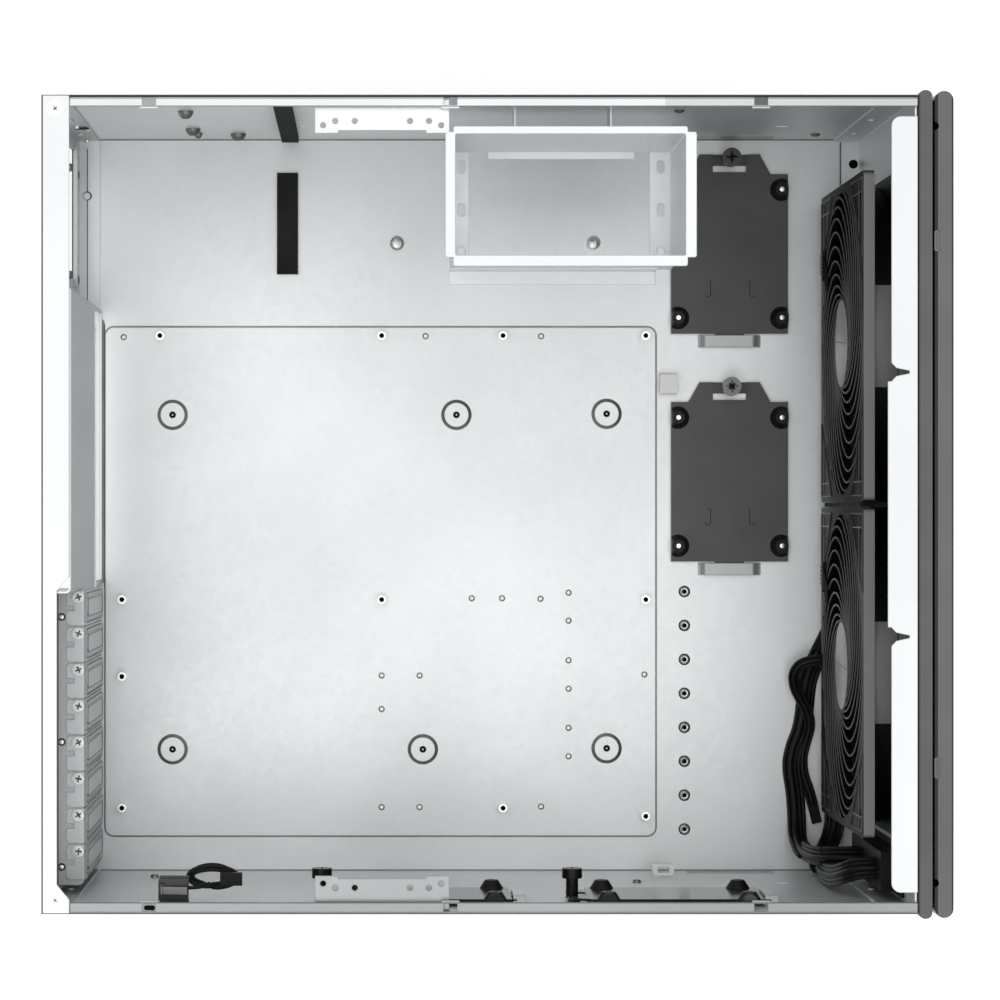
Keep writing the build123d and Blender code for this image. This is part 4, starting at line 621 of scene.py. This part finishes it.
def piece(name, shape, material):
    """Finishes a shape as a piece that rides on the case."""
    bmesh.ops.recalc_face_normals(shape, faces=shape.faces)
    mesh = bpy.data.meshes.new(name)
    shape.to_mesh(mesh)
    shape.free()
    mesh.materials.append(material)
    mesh.shade_smooth()
    mesh.set_sharp_from_angle(angle=math.radians(35))
    solid = bpy.data.objects.new(name, mesh)
    scene.collection.objects.link(solid)
    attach(solid, "case")
    return solid


# ---------------------------------------------------------------- places on the board area, as shares of its sides
def on_board(shares):
    """Places on the floor from shares of the pressed board area."""
    return [
        (board_corner[0] + along * board_span[0], board_corner[1] + across * board_span[1])
        for along, across in shares
    ]


standoff_places = on_board([
    (0.100, 0.983), (0.502, 0.983), (0.722, 0.983), (0.981, 0.983), (0.031, 0.465), (0.502, 0.465),
    (0.981, 0.465), (0.031, 0.314), (0.031, 0.056), (0.722, 0.056), (0.981, 0.040),
])
board_hole_places = on_board([
    (0.033, 0.981), (0.582, 0.983), (0.792, 0.983), (0.666, 0.467), (0.721, 0.467), (0.791, 0.466),
    (0.842, 0.478), (0.842, 0.423), (0.842, 0.345), (0.842, 0.289), (0.842, 0.212), (0.842, 0.156),
    (0.980, 0.317), (0.502, 0.315), (0.571, 0.315), (0.502, 0.249), (0.502, 0.056), (0.571, 0.056),
    (0.792, 0.057),
])
dish_places = on_board([
    (0.122, 0.828), (0.638, 0.828), (0.911, 0.830), (0.122, 0.170), (0.577, 0.170), (0.911, 0.172),
])

# ---------------------------------------------------------------- pieces
# the loose wiring, replacing its plain solids
free_cord(
    "usb_ribbon", usb_cable_route, 4.5, ["usb_cable"], ["usb_plug"],
    [(3.2, -0.9, 1.3), (-3.2, -0.9, 1.3), (5.4, -0.9, 1.2)])
free_cord(
    "panel_bundle", panel_leads_route, 4.0, ["panel_leads"], ["panel_plug"],
    [(2.8, -0.6, 1.3), (-2.8, -0.6, 1.3), (5.0, -0.8, 1.2), (-5.0, -0.8, 1.2)])
free_cord(
    "fan_cable", fan_lead_route, 3.2, ["fan_lead"], ["fan_plug"],
    [(2.3, -0.3, 1.0), (-2.3, -0.3, 1.0)])
free_cord("switch_cable", switch_lead_route, 2.0, ["switch_lead", "switch_hank"], ["switch_plug"])

# painted shade: a dark band on the pressed edge of the board area, and dark rings on the slopes of the pressed dishes
shape = bmesh.new()
board_middle = [corner + span / 2 for corner, span in zip(board_corner, board_span)]
band(shape, basis((*board_middle, floor_top), UP), rounded(331.0, 306.0, 6.0), rounded(329.1, 304.1, 5.1), 0.0, 0.35)
for place in dish_places:
    lathe(shape, basis((*place, board_top), UP), [(9.1, 0.0), (9.05, 0.10), (7.25, 1.03), (7.1, 1.0)], 48)
piece("pressed_edge_shade", shape, shade_steel)

# drawn and threaded collars inside the floor's holes, dark as painted shade of the holes' inner walls
shape = bmesh.new()
for places, profile in (
        (board_hole_places, [(1.6, 0.0), (1.15, 0.0), (1.15, 2.3), (1.5, 2.62), (1.95, 2.62), (1.95, 2.58)]),
        (tapped_places, [(1.7, 0.0), (1.2, 0.0), (1.2, 0.8), (1.6, 1.12), (2.1, 1.12), (2.1, 1.08)]),
        (dish_places, [(1.8, 0.0), (1.0, 0.0), (1.0, 2.9), (1.5, 3.62), (2.1, 3.62), (2.1, 3.58)])):
    for place in places:
        lathe(shape, basis((*place, floor_low), UP), profile, 24)
piece("hole_collars", shape, shade_steel)

# threads inside the standoffs, black, closed at the bottom as painted shade of the bore
shape = bmesh.new()
for place in standoff_places:
    turns = [(1.5 - 0.22 * (step % 2), -0.3 * step) for step in range(14)]
    lathe(shape, basis((*place, 9.3), UP), [(1.5, 0.02), *turns, (0.0, -4.0)], 20)
piece("standoff_threads", shape, hole_shade_black)

# discs on the fan hubs, left bare
for number in (1, 2):
    fan_low, fan_high = corners_of("fan_frame_%d" % number)
    shape = bmesh.new()
    centre = (fan_low.x, (fan_low.y + fan_high.y) / 2, (fan_low.z + fan_high.z) / 2)
    lathe(shape, basis(centre, (-1, 0, 0), UP), [(0.0, 0.34), (24.4, 0.34), (24.7, 0.2), (24.7, 0.0)], 64)
    piece("fan_disc_%d" % number, shape, label_grey)

# pressed cups at the trays' corners, blacker than the plate, each with the drive screw's hole
tray_seats = [((*place, floor_top), UP, (1, 0, 0)) for place in floor_tray_places]
tray_seats += [((x, -wall_face, 158.0), wall_inward[-1], (0, 0, -1)) for x in (-95.0, 43.5)]
tray_cup = [(6.75, 0.0), (6.7, 0.14), (3.72, 4.68), (3.2, 4.72), (1.75, 4.66), (1.72, 3.6)]
for number, (origin, up, along) in enumerate(tray_seats, start=1):
    plane = basis(origin, up, along)
    shape = bmesh.new()
    for side in (-1, 1):
        for reach in tray_hole_reaches:
            centre = plane @ Matrix.Translation((side * tray_hole_side, -reach, 3.1))
            first = len(shape.verts)
            lathe(shape, centre, tray_cup, 40)
            edge = tray_half_width - tray_hole_side
            clamp_sideways(shape, centre, first, (-edge, 9.0) if side < 0 else (-9.0, edge))
    piece("tray_cups_%d" % number, shape, tray_black)

# hook outlines pressed into the floor trays, drawn as black lines of painted shade
shape = bmesh.new()
for tray_x, tray_y in floor_tray_places:
    for offset, turn in ((-13.0, 1), (10.4, -1)):
        x, y, z = tray_x + offset, tray_y - 78.0, floor_top + 3.12
        tube(shape, [
            (x, y + 5.2, z), (x + 1.6, y + 5.2, z), (x + 1.6, y - 3.4, z),
            (x + 1.6 - 2.2 * turn, y - 4.8, z), (x + 1.6 - 3.4 * turn, y - 3.0, z),
        ], 0.22, 6)
piece("tray_mark_shades", shape, tray_black)

# clinch nuts on the +Y wall, as domes, and drawn rings on the -Y wall
shape = bmesh.new()
dome = [(1.0, 0.0), (0.98, 0.2), (0.9, 0.45), (0.72, 0.72), (0.45, 0.93), (0.4, 0.9), (0.0, 0.8)]
for x, z, radius, reach in (
        (-171.0, 150.0, 4.4, 4.4), (-171.5, 60.0, 4.4, 4.2), (-169.5, 38.0, 2.4, 3.4), (-146.2, 33.0, 4.6, 4.2),
        (194.0, 33.0, 3.0, 1.8), (103.0, 156.0, 3.0, 1.8)):
    lathe(shape, basis((x, wall_face, z), wall_inward[1], UP), [(radius * wide, reach * up) for wide, up in dome], 24)
piece("clinch_nuts", shape, shade_steel)
shape = bmesh.new()
drawn_ring = [(2.6, 0.0), (2.2, 1.5), (1.9, 1.7), (1.5, 1.5), (1.4, 0.1)]
for x, z in ((-195.0, 41.0), (86.0, 70.0), (194.0, 33.0)):
    lathe(shape, basis((x, -wall_face, z), wall_inward[-1], UP), drawn_ring, 24)
piece("drawn_rings", shape, shade_steel)

# embossed frames on the card slot covers
for number in range(1, 9):
    low, high = corners_of("slot_cover_%d" % number)
    shape = bmesh.new()
    place = basis((high.x, (low.y + high.y) / 2, (low.z + high.z) / 2 - 1.0), (1, 0, 0), UP)
    tall, wide = high.z - low.z - 12.0, high.y - low.y - 2.6
    band(shape, place, rounded(tall, wide, 3.4), rounded(tall - 1.2, wide - 1.2, 2.8), -0.05, 0.22)
    band(shape, place, rounded(tall - 9, wide - 6.4, 2.6), rounded(tall - 10.4, wide - 7.8, 1.9), -0.05, 0.25)
    piece("cover_frame_%d" % number, shape, shade_steel)

# painted shade: dark crosses in the recesses of the card slot screws and the corner screws, and dark rings round their
# rims
shape = bmesh.new()
slot_screw_top = corners_of("slot_screws")[1].z - 0.03
for number, y in enumerate(slot_places):
    turned = 0.35 + 0.83 * number
    place = basis((slot_screw_x, y, slot_screw_top), UP, (math.cos(turned), math.sin(turned), 0))
    cross(shape, place, 1.9, 0.42, 0.0, 0.06)
    band(shape, basis((slot_screw_x, y, 134.0), UP), disc(7.4), disc(6.3), 0.0, 0.6)
corner_screw_top = corners_of("corner_screws")[1].z - 0.03
for side in (-1, 1):
    place = basis((-237.2, side * 212.4, corner_screw_top), UP, (0.8, 0.6 * side, 0))
    cross(shape, place, 1.5, 0.32, 0.0, 0.06)
    band(shape, place, disc(6.4), disc(5.7), -0.1, 0.02)
piece("screw_recess_shades", shape, dark_plate)

# edge and rivet of the strip under the supply opening, and the four bosses of the supply's screws
shape = bmesh.new()
prism(shape, basis((supply_middle_x, 165.7, 2.38), UP), rounded(0.5, 95.0, 0.2), 0.0, 0.3)
lathe(shape, basis((supply_middle_x, 184.9, 2.38), UP), [(2.7, 0.0), (2.5, 0.9), (1.0, 1.0), (0.9, 0.4)], 24)
piece("rear_foot_edge", shape, black_steel_and_shade)
shape = bmesh.new()
for y in (195.7, 133.5):
    for z, radius in ((18.0, 2.9), (66.0, 2.4)):
        boss = [(radius, 0.0), (radius, 1.6), (radius * 0.7, 2.2), (radius * 0.3, 2.4), (0.0, 2.0)]
        lathe(shape, basis((-243.4, y, z), (1, 0, 0), UP), boss, 20)
piece("supply_bosses", shape, shade_steel)

# the fans' frames as photographed, with the guard's vanes sweeping the other way round
for number in (1, 2):
    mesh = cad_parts["fan_frame_%d" % number].data
    low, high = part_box("fan_frame_%d" % number)
    shape = bmesh.new()
    shape.from_mesh(mesh)
    for vert in shape.verts:
        vert.co.z = low[2] + high[2] - vert.co.z
    bmesh.ops.reverse_faces(shape, faces=shape.faces)
    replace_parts(piece("fan_guard_frame_%d" % number, shape, fan_plastic), "fan_frame_%d" % number)

# moulded corner pockets of the fans, a thin rule across each disc, and the leads' way out of each hub
for number, fan_y in enumerate(fan_places, start=1):
    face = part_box("fan_frame_%d" % number)[0][0] / MM
    shape = bmesh.new()
    for side_y in (-1, 1):
        for side_z in (-1, 1):
            corner = ((86.5, 86.5), (86.5, 42.0), (66.0, 62.5), (44.0, 86.5), (86.5, 86.5))
            upright = ((79.0, 84.0), (79.0, 50.0))
            level = ((85.0, 74.0), (56.0, 74.0))
            for line, proud, radius in ((corner, 0.15, 0.55), (upright, 0.12, 0.5), (level, 0.12, 0.5)):
                tube(shape, [(face - proud, fan_y + side_y * y, fan_height + side_z * z) for y, z in line], radius, 6)
    piece("fan_corner_ribs_%d" % number, shape, black_edge)
    shape = bmesh.new()
    for strand in range(5):
        start_y = fan_y + 45.0 + 2.4 * strand
        tube(shape, [
            (face - 0.6, start_y, 25.0), (face - 1.4, start_y + 1.0, 32.0), (face - 1.5, start_y - 2.0, 44.0),
            (face - 0.8, start_y - 9.0, 52.0), (face - 0.3, start_y - 12.0, 53.0),
        ], 0.7, 8)
    bar(shape, (face - 1.9, fan_y + 40.0, 36.0), (face - 0.1, fan_y + 58.0, 38.5))
    piece("fan_hub_leads_%d" % number, shape, cord_rubber)
    shape = bmesh.new()
    tube(shape, [(face - 0.34, fan_y + 2.0, 87.0), (face - 0.34, fan_y - 1.0, 133.0)], 0.35, 6)
    piece("fan_disc_rule_%d" % number, shape, shade_steel)

# cross recesses of the floor trays' thumbscrews, black as painted shade
shape = bmesh.new()
for place, turned in zip(floor_tray_places, (0.05, 0.75)):
    along = (math.cos(turned), math.sin(turned), 0)
    cross(shape, basis((*place, floor_top + 19.5), UP, along), 2.3, 0.55, -0.1, 0.12)
piece("thumb_cross_shades", shape, hole_shade_black)

# bright seats seen through the floor trays' drive holes
shape = bmesh.new()
for tray_x, tray_y in floor_tray_places:
    for side in (-1, 1):
        for reach in tray_hole_reaches:
            place = basis((tray_x + side * tray_hole_side, tray_y - reach, floor_top + 7.3), UP)
            lathe(shape, place, [(1.68, 0.0), (1.3, 0.3), (0.0, 0.35)], 20)
piece("tray_hole_seats", shape, nickel)

# heads of the floor studs, the second with its serrated edge
stud_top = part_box("floor_studs")[1][2] / MM
stud_teeth = 26
tooth_reach, tooth_half = 5.4, 0.35
smooth_x, serrated_x = -52.5, 64.9
shape = bmesh.new()
lathe(shape, basis((smooth_x, stud_y, stud_top), UP),
      [(4.1, -1.6), (4.0, -0.2), (3.4, 0.5), (2.4, 0.8), (1.2, 1.0), (0.0, 1.05)], 32)
for step in range(stud_teeth):
    angle = 2 * math.pi * step / stud_teeth
    x, y = serrated_x + tooth_reach * math.cos(angle), stud_y + tooth_reach * math.sin(angle)
    bar(shape, (x - tooth_half, y - tooth_half, floor_top), (x + tooth_half, y + tooth_half, floor_top + 0.5))
lathe(shape, basis((serrated_x, stud_y, stud_top), UP), [(3.6, -1.6), (3.5, 0.1), (2.6, 0.7), (0.0, 0.9)], 32)
piece("stud_heads", shape, steel)

# rings of the tapped holes in the floor, their outlines, and the dark mouths of the dishes' holes
shape = bmesh.new()
for place in tapped_places:
    lathe(shape, basis((*place, floor_top), UP),
          [(3.0, 0.0), (2.8, 0.5), (2.35, 1.0), (1.9, 1.2), (1.45, 1.1), (1.3, 0.2)], 28)
piece("tapped_rings", shape, steel)
shape = bmesh.new()
for place in tapped_places:
    plane = basis((*place, floor_top), UP)
    band(shape, plane, disc(7.0), disc(6.0), 0.0, 0.22)
    lathe(shape, plane, [(1.4, 0.95), (0.9, 0.6), (0.0, 0.5)], 20)
for place in dish_places:
    lathe(shape, basis((*place, board_top), UP), [(1.9, 1.0), (1.7, 1.3), (0.55, 1.28), (0.5, 1.1)], 24)
piece("hole_shadows", shape, hole_shade_black)

# fine parts of the rear panel: rivets, corner clips and a bright edge of the board opening; then black marks of
# painted shade: rings round the ledge's rivets, a line by a corner clip, a line under the flange's edge, lines along
# the board opening's edges and at the card slots' ledge
ledge_x = -241.2
ledge_places = (-62.9, -133.0, -203.0)
shape = bmesh.new()
for y in ledge_places:
    lathe(shape, basis((ledge_x, y, 136.2), UP), [(1.4, 0.0), (1.2, 0.7), (0.0, 1.0)], 20)
for x, z in ((-231.8, 70.4), (-237.0, 83.7), (-237.5, 7.0)):
    lathe(shape, basis((x, 217.6, z), wall_inward[1], UP), [(1.7, 0.0), (1.5, 0.9), (0.0, 1.4)], 20)
bar(shape, (-228.9, -49.0, 49.0), (-228.6, 113.0, 57.0))
piece("rear_rivets", shape, nickel)
shape = bmesh.new()
for y in ledge_places:
    band(shape, basis((ledge_x, y, 136.05), UP), disc(4.4), disc(3.0), 0.0, 0.2)
for low, high in (
        ((-238.5, 216.2, 78.5), (-230.5, 217.4, 80.3)),
        ((-236.25, -204.0, 217.6), (-235.55, -41.0, 218.7)),
        ((-232.2, -48.0, 1.3), (-230.9, 112.0, 1.7)),
        ((-227.9, -49.0, 1.3), (-227.4, 108.0, 1.6))):
    bar(shape, low, high)
for number in range(8):
    y = -62.3 - slot_pitch * (number - 0.03)
    bar(shape, (-226.9, y, 135.6), (-226.0, y + 0.8, 136.3))
piece("rear_edge_shades", shape, black_steel_and_shade)
# a dark strip over the board opening's floor, as painted shade
shape = bmesh.new()
bar(shape, (-243.0, -48.5, 1.22), (-227.1, 112.5, 1.42))
piece("rear_opening_shade", shape, shade_steel)

# the front corner's screw, and painted shade: a black line on the front corner's fold, black edges of the wall trays,
# and a dark patch over the slot in the rim
shape = bmesh.new()
lathe(shape, basis((220.6, 203.9, 2.4), UP), [(2.7, 0.0), (2.5, 1.2), (1.2, 1.5), (1.0, 0.9), (0.0, 0.8)], 24)
bar(shape, (212.6, 190.0, 2.4), (213.1, 217.0, 2.7))
for number in (1, 2):
    low, high = corners_of("wall_tray_%d" % number)
    bar(shape, (low.x + 2.0, -215.75, 186.5), (high.x - 2.0, -215.45, 192.5))
prism(shape, basis((-186.6, -216.4, 219.2), UP), rounded(6.0, 2.6, 1.3), 0.0, 0.75)
piece("corner_screw_and_shade_lines", shape, hole_shade_black)

# outlines of the door's spring clips: painted shade outside and painted highlight inside
for name, material, outer, inner in (
        ("clip_outline_shades", hole_shade_black, (12.4, 3.4, 1.6), (11.0, 2.4, 1.1)),
        ("clip_edge_highlights", shade_steel, (11.0, 2.4, 1.1), (10.0, 1.7, 0.8))):
    shape = bmesh.new()
    for y in door_clip_places:
        place = basis((door_low[0] / MM + 1.1, y, door_high[2] / MM), UP, (0, 1, 0))
        band(shape, place, rounded(*outer), rounded(*inner), -0.5, -0.01)
    piece(name, shape, material)

# ---------------------------------------------------------------- stage and light
floor_material, floor_tree, floor_shader = node_tree("stage_floor")
floor_shader.inputs["Base Color"].default_value = (0.93, 0.93, 0.93, 1)
floor_shader.inputs["Roughness"].default_value = 0.9
floor_path = floor_tree.nodes.new("ShaderNodeLightPath")
floor_glow = floor_tree.nodes.new("ShaderNodeMath")
floor_glow.operation = "MAXIMUM"
floor_tree.links.new(floor_path.outputs["Is Camera Ray"], floor_glow.inputs[0])
floor_tree.links.new(floor_path.outputs["Is Glossy Ray"], floor_glow.inputs[1])
floor_part = floor_tree.nodes.new("ShaderNodeMath")
floor_part.operation = "MULTIPLY"
floor_part.inputs[1].default_value = 0.5
floor_tree.links.new(floor_glow.outputs[0], floor_part.inputs[0])
floor_shader.inputs["Emission Color"].default_value = (1, 1, 1, 1)
floor_tree.links.new(floor_part.outputs[0], floor_shader.inputs["Emission Strength"])
floor_mesh = bpy.data.meshes.new("stage_floor")
floor_mesh.from_pydata([(-4, -4, 0), (4, -4, 0), (4, 4, 0), (-4, 4, 0)], [], [(0, 1, 2, 3)])
floor_mesh.materials.append(floor_material)
floor = bpy.data.objects.new("stage_floor", floor_mesh)
floor.location.z = -0.0002
scene.collection.objects.link(floor)

world = bpy.data.worlds.new("studio")
scene.world = world
world.use_nodes = True
sky = world.node_tree
sky_place = sky.nodes.new("ShaderNodeTexCoord")
sky_split = sky.nodes.new("ShaderNodeSeparateXYZ")
sky.links.new(sky_place.outputs["Generated"], sky_split.inputs["Vector"])
sky_tones = [(0.0, even(0.42)), (0.35, even(0.46)), (0.80, even(0.72)), (1.0, even(0.78))]
sky_tone = ramp(sky, sky_split.outputs["Z"], sky_tones)
sky.links.new(sky_tone.outputs["Color"], sky.nodes["Background"].inputs["Color"])
sky.nodes["Background"].inputs["Strength"].default_value = 1.0


def softbox(name, place, aim, size, power):
    """A rectangular lamp at a place, in metres, turned to what it lights."""
    data = bpy.data.lights.new(name, "AREA")
    data.shape = "RECTANGLE"
    data.size, data.size_y = size
    data.energy = power
    light = bpy.data.objects.new(name, data)
    light.location = place
    light.rotation_euler = (Vector(aim) - Vector(place)).to_track_quat("-Z", "Y").to_euler()
    scene.collection.objects.link(light)


softbox("overhead", (-0.0662, 0, 3.0), (-0.0662, 0, 0), (3.2, 3.2), 25.2)
softbox("key", (-0.5, -0.9, 2.5), (0, 0, 0), (0.8, 0.8), 3.0)

scene.view_settings.view_transform = "Standard"
